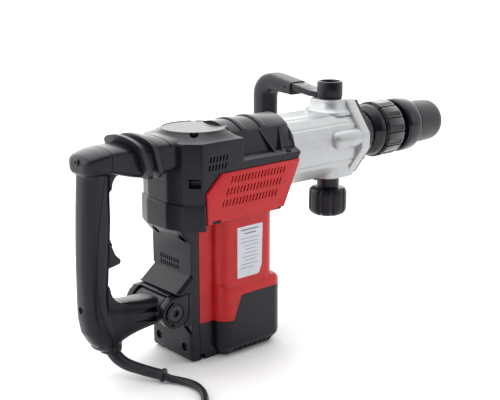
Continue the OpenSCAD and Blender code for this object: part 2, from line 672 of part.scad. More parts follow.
module dust_cap() color([0.14, 0.14, 0.15]) x_solid([[20, 318.6], [28.5, 318.6], [27.5, 356], [26, 362], [22, nose_x],
  [15, nose_x], [socket_r + 0.8, nose_x - 7], [socket_r + 0.8, 352.2], [18.1, 352.2], [20, 346]]);

motor_housing();
motor_end_cap();
rear_cover();
upper_shroud();
top_cap();
side_panel_right();
side_panel_left();
pivot_bracket();
barrel_housing();
front_plate();
crank_case();
housing_screws();
flange_screws();
rating_label();
hammer_cylinder();
bolt_guides();
stator();
brush_holders();
carbon_brushes();
armature_bearings();
crank_bearings();
speed_control();
pivot_bolt();
bellows();
damper_spring();
side_handle_screw();
handle_rear_shell();
handle_front_shell();
handle_screws();
power_switch();
pivot_bushes();
cord_guard();
power_cord();
cord_coil();
cord_tie();
plug_lead();
plug_body();
plug_pins();
trigger();
side_handle_frame();
side_grip();
clamp_knob();
tool_holder();
dust_cap();
angle_ring();
locking_sleeve();
sleeve_spring();
lock_segment_left();
lock_segment_right();
impact_bolt();
striker();
piston();
wrist_pin();
connecting_rod();
crankshaft();
crank_gear();
armature_shaft();
armature_core();
commutator();
cooling_fan();
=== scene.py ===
import json
import math

import bmesh
import bpy
import numpy as np
from mathutils import Matrix, Vector


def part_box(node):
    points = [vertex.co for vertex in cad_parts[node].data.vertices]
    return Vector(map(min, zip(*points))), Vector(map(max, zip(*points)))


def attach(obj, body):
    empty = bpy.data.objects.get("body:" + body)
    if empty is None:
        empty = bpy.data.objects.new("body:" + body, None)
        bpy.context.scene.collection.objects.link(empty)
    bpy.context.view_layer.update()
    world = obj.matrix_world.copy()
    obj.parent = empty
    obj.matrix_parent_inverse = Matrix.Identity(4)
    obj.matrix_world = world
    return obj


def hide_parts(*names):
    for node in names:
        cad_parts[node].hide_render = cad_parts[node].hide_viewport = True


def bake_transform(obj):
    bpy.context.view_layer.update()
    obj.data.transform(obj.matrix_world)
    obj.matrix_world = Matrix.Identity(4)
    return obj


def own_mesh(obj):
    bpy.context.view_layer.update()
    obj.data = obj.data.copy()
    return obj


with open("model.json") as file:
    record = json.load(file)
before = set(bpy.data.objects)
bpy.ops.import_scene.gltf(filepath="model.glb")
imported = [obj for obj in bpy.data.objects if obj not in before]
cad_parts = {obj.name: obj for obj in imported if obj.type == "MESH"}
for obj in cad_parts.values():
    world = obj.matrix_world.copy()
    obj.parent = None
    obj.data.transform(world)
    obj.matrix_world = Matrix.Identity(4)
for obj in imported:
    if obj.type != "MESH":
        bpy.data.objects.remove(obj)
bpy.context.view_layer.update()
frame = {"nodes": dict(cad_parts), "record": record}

# The outer shapes of a demolition hammer, built around its CAD frame. The working axis is +X and
# lengths are in millimetres up to the point where a mesh is made.
MM = 0.001
cad = frame["nodes"]
joints = {joint["name"]: joint for joint in frame["record"]["behaviour"]["joints"]}
mounts = {mount["name"]: mount for mount in frame["record"]["mounts"]}


def in_mm(point):
    return [1000 * value for value in point]


def node_mm(name):
    """The lowest and highest corners of a CAD node, in millimetres."""
    low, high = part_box(name)
    return in_mm(low), in_mm(high)


def ends_x(name):
    """Where a CAD node starts and ends along X."""
    low, high = node_mm(name)
    return low[0], high[0]


def span(side, near, far):
    """Two distances from the middle plane as y values, lowest first, on side -1 or 1."""
    return sorted((side * near, side * far))


# ---- places taken from the frame, in millimetres ----
BARREL_Z = in_mm(mounts["tool_socket"]["pos_m"])[2]
PIVOT_X, _, PIVOT_Z = in_mm(joints["handle_tilt"]["pos_m"])
TRIGGER_X, _, TRIGGER_Z = in_mm(joints["trigger_pull"]["pos_m"])
CRANK_X = in_mm(joints["crank_spin"]["pos_m"])[0]
SIDE_X = in_mm(joints["side_handle_swing"]["pos_m"])[0]
SEAM_X = ends_x("motor_end_cap")[0]
# The end cap gives the motor casing's front, half width and the height of its rim.
FRONT_X, MOTOR_HALF, RIM_Z = node_mm("motor_end_cap")[1]
REAR_HALF = node_mm("rear_cover")[1][1]
REAR_X = SEAM_X - 11
RIM_X, SHROUD_HALF, _ = node_mm("upper_shroud")[1]
FLANGE_X = ends_x("barrel_housing")[1]
GRIP_REAR_X = ends_x("handle_rear_shell")[0]

# ---- places chosen ----
CAP_SCREWS = [(x, side * 31) for x in (-62, -14.5) for side in (-1, 1)]
COVER_SCREWS = [(side * 24, z) for z in (16.5, 143) for side in (-1, 1)]
UPPER_COVER_Z = 100
CASING_CORNER = 16
CASING_REAR_X = -42
ARM_Z = 236
LEDGE_TOP = (REAR_X, 101.0)
LEDGE_TIP = (-92.0, 84.8)


# ---- camera ----
def make_camera():
    """The photograph's view, from behind and to the right."""
    data = bpy.data.cameras.new("photo_camera")
    data.sensor_width = 36.0
    data.lens = 71.06
    camera = bpy.data.objects.new("photo_camera", data)
    bpy.context.scene.collection.objects.link(camera)
    heading, pitch = math.radians(49.0), math.radians(-14.9)
    camera.location = (-0.6907, -0.8444, 0.4583)
    camera.rotation_euler = (math.pi / 2 + pitch, 0.0, heading - math.pi / 2)
    bpy.context.scene.camera = camera


make_camera()


# ---- materials ----
def new_material(name, colour, roughness, metallic=0.0):
    """A material with its nodes, its links and its shader."""
    material = bpy.data.materials.new(name)
    material.use_nodes = True
    nodes = material.node_tree.nodes
    shader = nodes["Principled BSDF"]
    shader.inputs["Base Color"].default_value = (*colour, 1)
    shader.inputs["Roughness"].default_value = roughness
    shader.inputs["Metallic"].default_value = metallic
    return material, nodes, material.node_tree.links, shader


def noise(nodes, links, scale, detail=3.0):
    place = nodes.new("ShaderNodeTexCoord")
    texture = nodes.new("ShaderNodeTexNoise")
    texture.inputs["Scale"].default_value = scale
    texture.inputs["Detail"].default_value = detail
    links.new(place.outputs["Object"], texture.inputs["Vector"])
    return texture.outputs["Fac"]


def spread(nodes, links, value, low, high):
    """value, taken from 0.3..0.7 to low..high."""
    mapped = nodes.new("ShaderNodeMapRange")
    mapped.inputs["From Min"].default_value = 0.3
    mapped.inputs["From Max"].default_value = 0.7
    mapped.inputs["To Min"].default_value = low
    mapped.inputs["To Max"].default_value = high
    links.new(value, mapped.inputs["Value"])
    return mapped.outputs["Result"]


def mixed(nodes, links, value, first, second):
    mix = nodes.new("ShaderNodeMix")
    mix.data_type = "RGBA"
    links.new(value, mix.inputs["Factor"])
    mix.inputs["A"].default_value = (*first, 1)
    mix.inputs["B"].default_value = (*second, 1)
    return mix.outputs["Result"]


def bumped(nodes, links, shader, height, strength, distance):
    bump = nodes.new("ShaderNodeBump")
    bump.inputs["Strength"].default_value = strength
    bump.inputs["Distance"].default_value = distance
    links.new(height, bump.inputs["Height"])
    links.new(bump.outputs["Normal"], shader.inputs["Normal"])


def surface(name, dark, light, rough_low, rough_high, grain, bump, metallic=0.0, blotch=60.0, specular=0.5):
    """A procedural finish: broad colour changes, finer roughness changes and a fine grain."""
    material, nodes, links, shader = new_material(name, dark, rough_low, metallic)
    broad = spread(nodes, links, noise(nodes, links, blotch), 0.0, 1.0)
    links.new(mixed(nodes, links, broad, dark, light), shader.inputs["Base Color"])
    fine = noise(nodes, links, grain, 2.0)
    links.new(spread(nodes, links, noise(nodes, links, 4 * blotch), rough_low, rough_high),
              shader.inputs["Roughness"])
    bumped(nodes, links, shader, fine, bump, 0.0003)
    shader.inputs["Specular IOR Level"].default_value = specular
    return material


BLACK = surface("moulded_black", (0.007, 0.006, 0.011), (0.009, 0.008, 0.014), 0.285, 0.305, 300, 0.0015,
                specular=0.26)
RED = surface("moulded_red", (0.46, 0.009, 0.011), (0.54, 0.012, 0.015), 0.28, 0.36, 300, 0.008,
              specular=0.30)
RUBBER = surface("soft_rubber", (0.009, 0.008, 0.013), (0.014, 0.012, 0.018), 0.32, 0.44, 1400, 0.07,
                 specular=0.34)
CORD_RUBBER = surface("cord_rubber", (0.010, 0.009, 0.014), (0.015, 0.013, 0.019), 0.34, 0.46, 1400, 0.08,
                      specular=0.34)
CAST = surface("silver_casting", (0.42, 0.43, 0.44), (0.46, 0.47, 0.475), 0.30, 0.38, 900, 0.05, 0.6)
OXIDE = surface("black_oxide", (0.005, 0.004, 0.008), (0.009, 0.008, 0.013), 0.14, 0.22, 600, 0.02,
                specular=0.36)
STEEL = surface("machined_steel", (0.46, 0.46, 0.48), (0.56, 0.56, 0.58), 0.24, 0.4, 700, 0.12, 1.0)
DARK_STEEL = surface("dark_screw", (0.020, 0.019, 0.022), (0.034, 0.032, 0.036), 0.34, 0.46, 900, 0.15, 0.4)
BRONZE = surface("bronze", (0.50, 0.32, 0.12), (0.60, 0.40, 0.17), 0.3, 0.45, 800, 0.12, 1.0)
COPPER = surface("copper", (0.65, 0.30, 0.14), (0.75, 0.38, 0.20), 0.3, 0.45, 800, 0.12, 1.0)
CARBON = surface("carbon_block", (0.018, 0.018, 0.018), (0.04, 0.04, 0.04), 0.6, 0.8, 900, 0.3)
BOARD = surface("circuit_board", (0.012, 0.10, 0.04), (0.02, 0.14, 0.06), 0.4, 0.6, 700, 0.1)
FAN = surface("fan_plastic", (0.02, 0.02, 0.022), (0.03, 0.03, 0.033), 0.5, 0.65, 1200, 0.2)
LABEL = surface("label_foil", (0.60, 0.62, 0.67), (0.66, 0.68, 0.72), 0.35, 0.5, 1200, 0.05)
RULE = surface("label_rules", (0.10, 0.10, 0.12), (0.16, 0.16, 0.18), 0.5, 0.6, 1200, 0.05)


def laminated():
    """Stacked steel sheets, with lines across Z."""
    material, nodes, links, shader = new_material("laminations", (0.2, 0.2, 0.21), 0.5, 0.8)
    place = nodes.new("ShaderNodeTexCoord")
    wave = nodes.new("ShaderNodeTexWave")
    wave.bands_direction = "Z"
    wave.inputs["Scale"].default_value = 320
    wave.inputs["Distortion"].default_value = 0.4
    links.new(place.outputs["Object"], wave.inputs["Vector"])
    links.new(mixed(nodes, links, wave.outputs["Fac"], (0.12, 0.12, 0.13), (0.26, 0.26, 0.27)),
              shader.inputs["Base Color"])
    bumped(nodes, links, shader, wave.outputs["Fac"], 0.3, 0.0003)
    return material


LAMINATED = laminated()
FINISHES = {
    "housing_black": BLACK, "housing_red": RED, "cast_silver": CAST, "chuck_black": OXIDE,
    "rubber_black": RUBBER, "cord_rubber": CORD_RUBBER, "label_white": LABEL, "steel_plain": STEEL,
    "steel_black": DARK_STEEL, "bronze": BRONZE, "copper_bar": COPPER, "lamination": LAMINATED,
    "carbon": CARBON, "board_green": BOARD, "fan_plastic": FAN,
}
SLOT_OF = {part["node"]: part["material_slot"] for part in frame["record"]["subparts"]}
BODY_OF = {node: body for body, nodes in frame["record"]["behaviour"]["bodies"].items() for node in nodes}


# ---- outlines, as arrays of points in millimetres ----
def unit(vector):
    return vector / np.linalg.norm(vector)


def filleted(corners, radii, steps=6):
    """A closed outline with an arc of the given radius at each corner."""
    corners = [np.array(corner, float) for corner in corners]
    if np.isscalar(radii):
        radii = [radii] * len(corners)
    outline = []
    for i, corner in enumerate(corners):
        before, after = unit(corners[i - 1] - corner), unit(corners[(i + 1) % len(corners)] - corner)
        half_angle = math.acos(max(-1.0, min(1.0, float(before @ after)))) / 2
        if radii[i] <= 0 or half_angle > 1.55:
            outline.append(corner)
            continue
        centre = corner + unit(before + after) * radii[i] / math.sin(half_angle)
        start = corner + before * radii[i] / math.tan(half_angle) - centre
        stop = corner + after * radii[i] / math.tan(half_angle) - centre
        turn = math.atan2(start[0] * stop[1] - start[1] * stop[0], float(start @ stop))
        for step in range(steps + 1):
            angle = turn * step / steps
            c, s = math.cos(angle), math.sin(angle)
            outline.append(centre + np.array([c * start[0] - s * start[1], s * start[0] + c * start[1]]))
    return np.array(outline)


def rectangle(x0, x1, y0, y1):
    return np.array([(x0, y0), (x1, y0), (x1, y1), (x0, y1)], float)


def rounded_rect(x0, x1, y0, y1, radius, steps=8):
    return filleted(rectangle(x0, x1, y0, y1), radius, steps)


def circle(x, y, radius, count=64):
    angles = np.arange(count) * 2 * math.pi / count
    return np.stack([x + radius * np.cos(angles), y + radius * np.sin(angles)], 1)


def signed_area(outline):
    x, y = outline[:, 0], outline[:, 1]
    return 0.5 * float(np.sum(x * np.roll(y, -1) - np.roll(x, -1) * y))


def inset(outline, distance):
    """The outline moved inwards along its corners' bisectors."""
    before = outline - np.roll(outline, 1, 0)
    after = np.roll(outline, -1, 0) - outline
    before /= np.maximum(np.linalg.norm(before, axis=1), 1e-9)[:, None]
    after /= np.maximum(np.linalg.norm(after, axis=1), 1e-9)[:, None]
    normal = np.stack([-before[:, 1], before[:, 0]], 1) + np.stack([-after[:, 1], after[:, 0]], 1)
    normal /= np.maximum(np.sum(normal * normal, 1) / 2, 0.5)[:, None]
    return outline + normal * distance


# ---- solids ----
def solid(name, points, faces, smooth=35):
    """A mesh object from points in millimetres, smooth where faces meet at under smooth degrees."""
    mesh = bpy.data.meshes.new(name)
    mesh.from_pydata([tuple(MM * float(value) for value in point) for point in points], [], faces)
    made = bpy.data.objects.new(name, mesh)
    bpy.context.scene.collection.objects.link(made)
    clean(made)
    shade(made, smooth)
    return made


def clean(made, merge=0.00002):
    build = bmesh.new()
    build.from_mesh(made.data)
    bmesh.ops.remove_doubles(build, verts=build.verts, dist=merge)
    bmesh.ops.dissolve_degenerate(build, edges=build.edges, dist=merge)
    loose = [vert for vert in build.verts if not vert.link_faces]
    bmesh.ops.delete(build, geom=loose, context="VERTS")
    bmesh.ops.recalc_face_normals(build, faces=build.faces)
    build.to_mesh(made.data)
    build.free()


def shade(made, angle):
    made.data.polygons.foreach_set("use_smooth", [True] * len(made.data.polygons))
    made.data.set_sharp_from_angle(angle=math.radians(angle))


def loft(name, rings, smooth=35, closed=False):
    """Rings of equally many 3-D points, joined by faces and capped, or joined end to start."""
    count = len(rings[0])
    points = [point for ring in rings for point in ring]
    pairs = len(rings) if closed else len(rings) - 1
    faces = []
    for i in range(pairs):
        low, high = i * count, (i + 1) % len(rings) * count
        for k in range(count):
            after = (k + 1) % count
            faces.append((low + k, low + after, high + after, high + k))
    if not closed:
        faces.append(tuple(range(count))[::-1])
        faces.append(tuple(range(len(points) - count, len(points))))
    return solid(name, points, faces, smooth)


def placed(outline, level, axis):
    """A flat outline at a level along an axis: (x, y) on z, (x, z) on y, or (y, z) on x."""
    at = np.full(len(outline), float(level))
    columns = {"z": (outline[:, 0], outline[:, 1], at), "y": (outline[:, 0], at, outline[:, 1]),
               "x": (at, outline[:, 0], outline[:, 1])}[axis]
    return np.stack(columns, 1)


def anticlockwise(outline):
    return outline[::-1] if signed_area(outline) < 0 else outline


def end_rings(outline, end, radius, axis, steps):
    """The rings from an end's flat face to the full outline; a negative radius goes down the axis."""
    if not radius:
        return [placed(outline, end, axis)]
    angles = [math.pi / 2 * step / steps for step in range(steps + 1)]
    return [placed(inset(outline, abs(radius) * (1 - math.sin(angle))), end + radius * (1 - math.cos(angle)), axis)
            for angle in angles]


def prism(name, outline, start, end, axis="z", round_start=0.0, round_end=0.0, steps=4, smooth=35):
    """An outline carried along an axis, with rounded edges at its two ends."""
    outline = anticlockwise(outline)
    rings = end_rings(outline, start, round_start, axis, steps)
    rings += end_rings(outline, end, -round_end, axis, steps)[::-1]
    return loft(name, rings, smooth)


def stacked(name, outline, levels, smooth=35):
    """Level rings of one outline, each given as (how far inside the outline, height)."""
    outline = anticlockwise(outline)
    return loft(name, [placed(inset(outline, step), z, "z") for step, z in levels], smooth)


def box(name, x0, x1, y0, y1, z0, z1):
    return prism(name, rectangle(x0, x1, y0, y1), z0, z1)


def around(centre, along, radius, angle, axis):
    """A point at a distance along an axis through centre and at an angle around it."""
    across, up = radius * math.cos(angle), radius * math.sin(angle)
    return {"x": (centre[0] + along, centre[1] + across, centre[2] + up),
            "y": (centre[0] + across, centre[1] + along, centre[2] + up),
            "z": (centre[0] + across, centre[1] + up, centre[2] + along)}[axis]


def turned(name, profile, centre, axis="x", count=96, wobble=None, smooth=30):
    """A profile of (along, radius) points turned about an axis through centre.

    A profile whose ends are on the axis makes a full solid, any other is closed on itself.
    """
    def at(along, radius, k):
        angle = 2 * math.pi * k / count
        change = wobble(along, radius, angle) if wobble else 0.0
        return around(centre, along, radius + change, angle, axis)

    if profile[0][1] == 0 and profile[-1][1] == 0:
        return loft(name, [[at(*point, k) for k in range(count)] for point in profile[1:-1]], smooth)
    return loft(name, [[at(*point, k) for point in profile] for k in range(count)], smooth, closed=True)


def rod(name, centre, start, end, radius, axis, count=48, ease=0.0):
    """A round bar along an axis, with edges eased by a small radius."""
    flat = {"x": (centre[1], centre[2]), "y": (centre[0], centre[2]), "z": (centre[0], centre[1])}[axis]
    return prism(name, circle(*flat, radius, count), start, end, axis, ease, ease)


def moved(made, degrees, axis, place=(0, 0, 0)):
    """Turns a solid about an axis through the origin, then shifts it."""
    made.data.transform(Matrix.Rotation(math.radians(degrees), 4, axis))
    made.data.transform(Matrix.Translation(MM * Vector(place)))
    return made


def bake(made):
    """Applies the object's modifiers to its mesh."""
    evaluated = made.evaluated_get(bpy.context.evaluated_depsgraph_get())
    mesh = bpy.data.meshes.new_from_object(evaluated)
    old = made.data
    made.modifiers.clear()
    made.data = mesh
    bpy.data.meshes.remove(old)
    return made


def combined(made, others, operation, smooth):
    for other in others:
        change = made.modifiers.new("change", "BOOLEAN")
        change.operation = operation
        change.solver = "EXACT"
        change.object = other
        bake(made)
        bpy.data.objects.remove(other)
    clean(made)
    shade(made, smooth)
    return made


def joined(made, *others, smooth=35):
    return combined(made, others, "UNION", smooth)


def cut(made, *others, smooth=35):
    return combined(made, others, "DIFFERENCE", smooth)


def kept(made, other, smooth=35):
    return combined(made, [other], "INTERSECT", smooth)


def gathered(name, parts):
    """Separate solids as one object."""
    build = bmesh.new()
    for part in parts:
        build.from_mesh(part.data)
        bpy.data.objects.remove(part)
    mesh = bpy.data.meshes.new(name)
    build.to_mesh(mesh)
    build.free()
    made = bpy.data.objects.new(name, mesh)
    bpy.context.scene.collection.objects.link(made)
    shade(made, 35)
    return made


def copied(made, name):
    twin = bpy.data.objects.new(name, made.data.copy())
    bpy.context.scene.collection.objects.link(twin)
    return twin


def mirrored(made, name):
    """A copy on the other side of the plane y = 0."""
    twin = copied(made, name)
    twin.data.transform(Matrix.Scale(-1, 4, Vector((0, 1, 0))))
    twin.data.flip_normals()
    return twin


def finish_piece(made, name, *nodes, rides=True):
    """Names a piece, gives it its material and its body, and hides the CAD nodes it stands for."""
    made.name = name
    made.data.name = name
    slot = SLOT_OF[nodes[0]]
    made.data.materials.clear()
    made.data.materials.append(FINISHES[slot])
    if rides:
        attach(made, BODY_OF[nodes[0]])
    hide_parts(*nodes)
    return made


def extra_piece(made, name, material, body):
    """Finishes a small visible piece that stands for no CAD node of its own."""
    made.name = name
    made.data.materials.append(material)
    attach(made, body)


# ---- the mains cord: the same points as in the CAD model ----
CORD_R = 4.0
CORD_POINTS = [
    (-126, -53, 8), (-121, -60, 5), (-115, -69, 4), (-111, -80, 4), (-110, -92, 4), (-113, -104, 4),
    (-119, -116, 4), (-128, -128, 4), (-140, -141, 4), (-153, -155, 4), (-167, -170, 4), (-181, -186, 4),
    (-194, -201, 4), (-205, -213, 4)]
LEAD_POINTS = [(-182, -303, 28), (-167, -308, 27), (-152, -313, 24), (-138, -318, 21), (-124, -323, 19)]
COIL_CENTRE = (-163, -250)
GUARD_POINTS = [(-156, 0, 37), (-155, -2, 28), (-152, -8, 20), (-147, -17, 14.5), (-140, -29, 11.5),
                (-133, -41, 9.5), (-126, -53, 8)]
GUARD_R = [8.2, 7.6, 7.1, 6.6, 6.2, 5.9, 5.7]


def smooth_line(points, per_span):
    """A Catmull-Rom curve through the points."""
    points = np.array(points, float)
    padded = np.vstack([2 * points[0] - points[1], points, 2 * points[-1] - points[-2]])
    line = []
    for i in range(1, len(padded) - 2):
        a, b, c, d = padded[i - 1:i + 3]
        for step in range(per_span):
            t = step / per_span
            line.append(0.5 * (2 * b + (c - a) * t + (2 * a - 5 * b + 4 * c - d) * t ** 2
                               + (3 * b - a - 3 * c + d) * t ** 3))
    line.append(points[-1])
    return np.array(line)


def eased(t):
    t = min(1.0, max(0.0, t))
    return t * t * (3 - 2 * t)


def bearing(origin, point):
    """The direction of a point in plan, in degrees from +X."""
    return math.degrees(math.atan2(point[1] - origin[1], point[0] - origin[0]))


def coil_line(per_turn=36, jog=45.0):
    """The coil's centreline: three turns side by side in each of four layers.

    Each change of place takes the jog's angle, and a change that would meet the turn
    below it comes one jog earlier."""
    places = [(7 * CORD_R * 2 - CORD_R * 2 * k, CORD_R) for k in range(3)]
    slots = []
    for layer in range(4):
        row = places if layer % 2 == 0 else places[::-1]
        slots += [(radius, low + 2 * CORD_R * layer) for radius, low in row]
    zone_of = [0, 0, 1, 2, 2, 3, 4, 4, 5, 6, 6]
    start = bearing(COIL_CENTRE, CORD_POINTS[-1])
    leave = 360 + bearing(COIL_CENTRE, LEAD_POINTS[0])
    changes = [leave + 360 * k - jog * zone for k, zone in enumerate(zone_of)]
    last = leave + 3600
    line = []
    count = int((last - start) / 360 * per_turn)
    for i in range(count + 1):
        angle = start + (last - start) * i / count
        radius, height = slots[0]
        for k, change in enumerate(changes):
            share = eased((angle - change + jog) / jog)
            radius += share * (slots[k + 1][0] - slots[k][0])
            height += share * (slots[k + 1][1] - slots[k][1])
        turn = math.radians(angle)
        line.append((COIL_CENTRE[0] + radius * math.cos(turn), COIL_CENTRE[1] + radius * math.sin(turn), height))
    return np.array(line)


def tube_rings(line, radii, count=16):
    """Round rings along a line, turned as little as possible from one to the next."""
    rings = []
    side = None
    for i, point in enumerate(line):
        ahead = unit(line[min(i + 1, len(line) - 1)] - line[max(i - 1, 0)])
        if side is None:
            side = unit(np.cross(ahead, (0.3, 0.5, 0.8)))
        side = unit(side - ahead * float(side @ ahead))
        up = np.cross(ahead, side)
        angles = np.arange(count) * 2 * math.pi / count
        rings.append([point + radii[i] * (math.cos(a) * side + math.sin(a) * up) for a in angles])
    return rings


def make_cord():
    lay = smooth_line(CORD_POINTS, 4)
    coil = coil_line()
    lead = smooth_line(LEAD_POINTS, 4)
    line = np.vstack([lay[:-1], coil, lead[1:]])
    data = bpy.data.curves.new("mains_cord", "CURVE")
    data.dimensions = "3D"
    data.bevel_depth = MM * CORD_R
    data.bevel_resolution = 5
    data.use_fill_caps = True
    spline = data.splines.new("POLY")
    spline.points.add(len(line) - 1)
    for point, place in zip(spline.points, line):
        point.co = (*(MM * place), 1)
    spline.use_smooth = True
    cord = bpy.data.objects.new("mains_cord", data)
    bpy.context.scene.collection.objects.link(cord)
    data.materials.append(CORD_RUBBER)
    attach(cord, "rear_handle")
    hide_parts("power_cord", "cord_coil", "plug_lead")
    return cord, line


def make_guard():
    """The tapered strain relief, with a collar on its end."""
    line = smooth_line(GUARD_POINTS, 10)
    radii = np.interp(np.arange(len(line)), np.arange(len(GUARD_R)) * 10, GUARD_R)
    top = line[0] + np.array([0.0, 0.0, 6.0])
    ahead = unit(line[-1] - line[-3])
    end = line[-1]
    collar = [end - ahead * 0.6, end - ahead * 0.5, end + ahead * 1.2, end + ahead * 2.4, end + ahead * 2.9]
    line = np.vstack([top, line[:-1], collar])
    radii = np.concatenate([[8.2], radii[:-1], [5.8, 7.2, 7.8, 7.4, 5.2]])
    guard = loft("guard", tube_rings(line, radii, 32), 40)
    return finish_piece(guard, "cord_strain_relief", "cord_guard")


def make_tie():
    """A strap wound around the coil's section, with its buckle on top."""
    coil_top = node_mm("cord_coil")[1][2]
    inner, outer = 36.0, 60.0
    section = rounded_rect(inner - 1.4, outer + 1.4, 0.2, coil_top + 1.4, 3.0, 4)
    hole = rounded_rect(inner - 0.1, outer + 0.1, 0.9, coil_top + 0.1, 2.0, 4)
    strap = prism("strap", section, -6, 6, "y", 0.5, 0.5, 2)
    strap = cut(strap, prism("hole", hole, -9, 9, "y"))
    buckle = prism("buckle", rounded_rect(44, 53, -7, 7, 1.5, 4), coil_top, coil_top + 1.5, "z", 0, 0.6, 2)
    strap = joined(strap, buckle)
    return finish_piece(moved(strap, -20, "Z", (*COIL_CENTRE, 0)), "cord_strap", "cord_tie")


def on_plug(made):
    """Takes a solid turned about its own X axis to the plug's place and heading."""
    return moved(made, bearing(LEAD_POINTS[-2], LEAD_POINTS[-1]), "Z", LEAD_POINTS[-1])


def make_plug():
    """A round moulded mains plug with a ribbed tail, a waisted grip and two pins."""
    tail = [(0, 0), (0, 6.2)]
    for rib in range(4):
        tail += [(1.5 + 3.4 * rib, 6.3 + 0.4 * rib), (3.0 + 3.4 * rib, 6.3 + 0.4 * rib),
                 (3.2 + 3.4 * rib, 5.2 + 0.4 * rib), (4.2 + 3.4 * rib, 5.2 + 0.4 * rib)]
    body = tail + [(16, 8.5), (19, 10.5), (22, 14), (24, 16.5), (27, 18), (30, 18.4), (36, 18.4), (37.6, 17.6),
                   (37.9, 16.6), (37.9, 0)]
    plug = on_plug(turned("plug", body, (0, 0, 0), "x", 64))
    finish_piece(plug, "mains_plug", "plug_body")
    pins = []
    for side in (-9.5, 9.5):
        profile = [(37.0, 0), (37.0, 2.4), (54.6, 2.4), (56.2, 1.9), (56.8, 0.9), (56.8, 0)]
        pins.append(on_plug(turned("pin", profile, (0, side, 0), "x", 24)))
    pins = finish_piece(gathered("pins", pins), "plug_contact_pins", "plug_pins")
    return plug, pins


cord, cord_line = make_cord()
guard = make_guard()
tie = make_tie()
plug, plug_pins = make_plug()


# ---- motor casing ----
def rear_box(name, z0, z1, gap=0.0):
    return box(name, SEAM_X, -30, -REAR_HALF + gap, REAR_HALF - gap, z0, z1)


def cap_side(extra):
    """Side outline of the end cap, whose rim steps down towards the rear."""
    return filleted([(SEAM_X - 1, -2), (FRONT_X + 2, -2), (FRONT_X + 2, RIM_Z + extra), (-14, RIM_Z + extra),
                     (-25.5, 43 + extra), (SEAM_X - 1, 43 + extra)], [0, 0, 0, 4, 4, 0])


def casing_outline():
    """Plan of the motor casing at its widest."""
    return rounded_rect(CASING_REAR_X, FRONT_X, -MOTOR_HALF, MOTOR_HALF, CASING_CORNER)


def make_motor_housing():
    """The red casing: a wide foot with rounded shoulders, a narrower neck and a square rear."""
    lower = prism("lower", casing_outline(), 41, 82.5, "z", 0, 6, 6)
    neck = prism("neck", rounded_rect(CASING_REAR_X, 39, -49.4, 49.4, 15), 60, 161)
    housing = joined(lower, neck, rear_box("rear", 41, 160))
    foot = filleted([(-44, 60), (-20, 60), (-20, 74), (-44, 88)], [0, 0, 6, 0])
    housing = joined(housing, kept(prism("blend", foot, -MOTOR_HALF, MOTOR_HALF, "y"),
                                   prism("trim", casing_outline(), 50, 90)))
    housing = cut(housing, prism("cap", cap_side(0.35), -60, 60, "y"))
    finish_piece(housing, "motor_casing", "motor_housing")


def make_end_cap():
    """The black foot, with a chamfered base that holds the air slots."""
    levels = [(11, 0.0), (9.6, 0.0), (8.8, 0.8), (1.6, 9.6), (0.5, 11.6), (0, 14.5), (0, 80)]
    cap = joined(stacked("cap", casing_outline(), levels), rear_box("rear", 0, 60, 0.05))
    cap = kept(cap, prism("side", cap_side(0), -60, 60, "y"))
    slots = []
    for side in (-1, 1):
        for i in range(9):
            x = -22 + 7.4 * i
            slots.append(box("slot", x, x + 3.4, side * 39, side * 55, 2.6, 8.4))
    for i in range(-4, 5):
        slots.append(box("slot", 34, 55, 8 * i - 1.7, 8 * i + 1.7, 2.6, 8.4))
    notch = box("notch", SEAM_X + 0.6, SEAM_X + 6.5, -40, -28, -1, 6.5)
    rim = prism("groove", rectangle(-38, 48.5, 12.0, 12.8), -60, 60, "y")
    groove = cut(rim, prism("core", inset(casing_outline(), 0.5), 5, 20))
    cap = cut(cap, gathered("slots", slots), notch, groove)
    finish_piece(cap, "end_cap", "motor_end_cap")


def ledge_bevel(side):
    """A cutter for the bevel where the sloping ledge meets the cover's side."""
    slope = unit(np.array(LEDGE_TIP) - np.array(LEDGE_TOP))
    out = np.array([slope[1], -slope[0]]) * (1 if -slope[0] > 0 else -1)
    rings = []
    for reach in (-1.0, 24.6):
        x, z = np.array(LEDGE_TOP) + slope * reach
        rings.append([(x + out[0] * up, side * (REAR_HALF + across), z + out[1] * up)
                      for up, across in ((-3.4, 0.2), (0.2, -3.4), (6.0, 2.0))])
    return loft("bevel", rings)


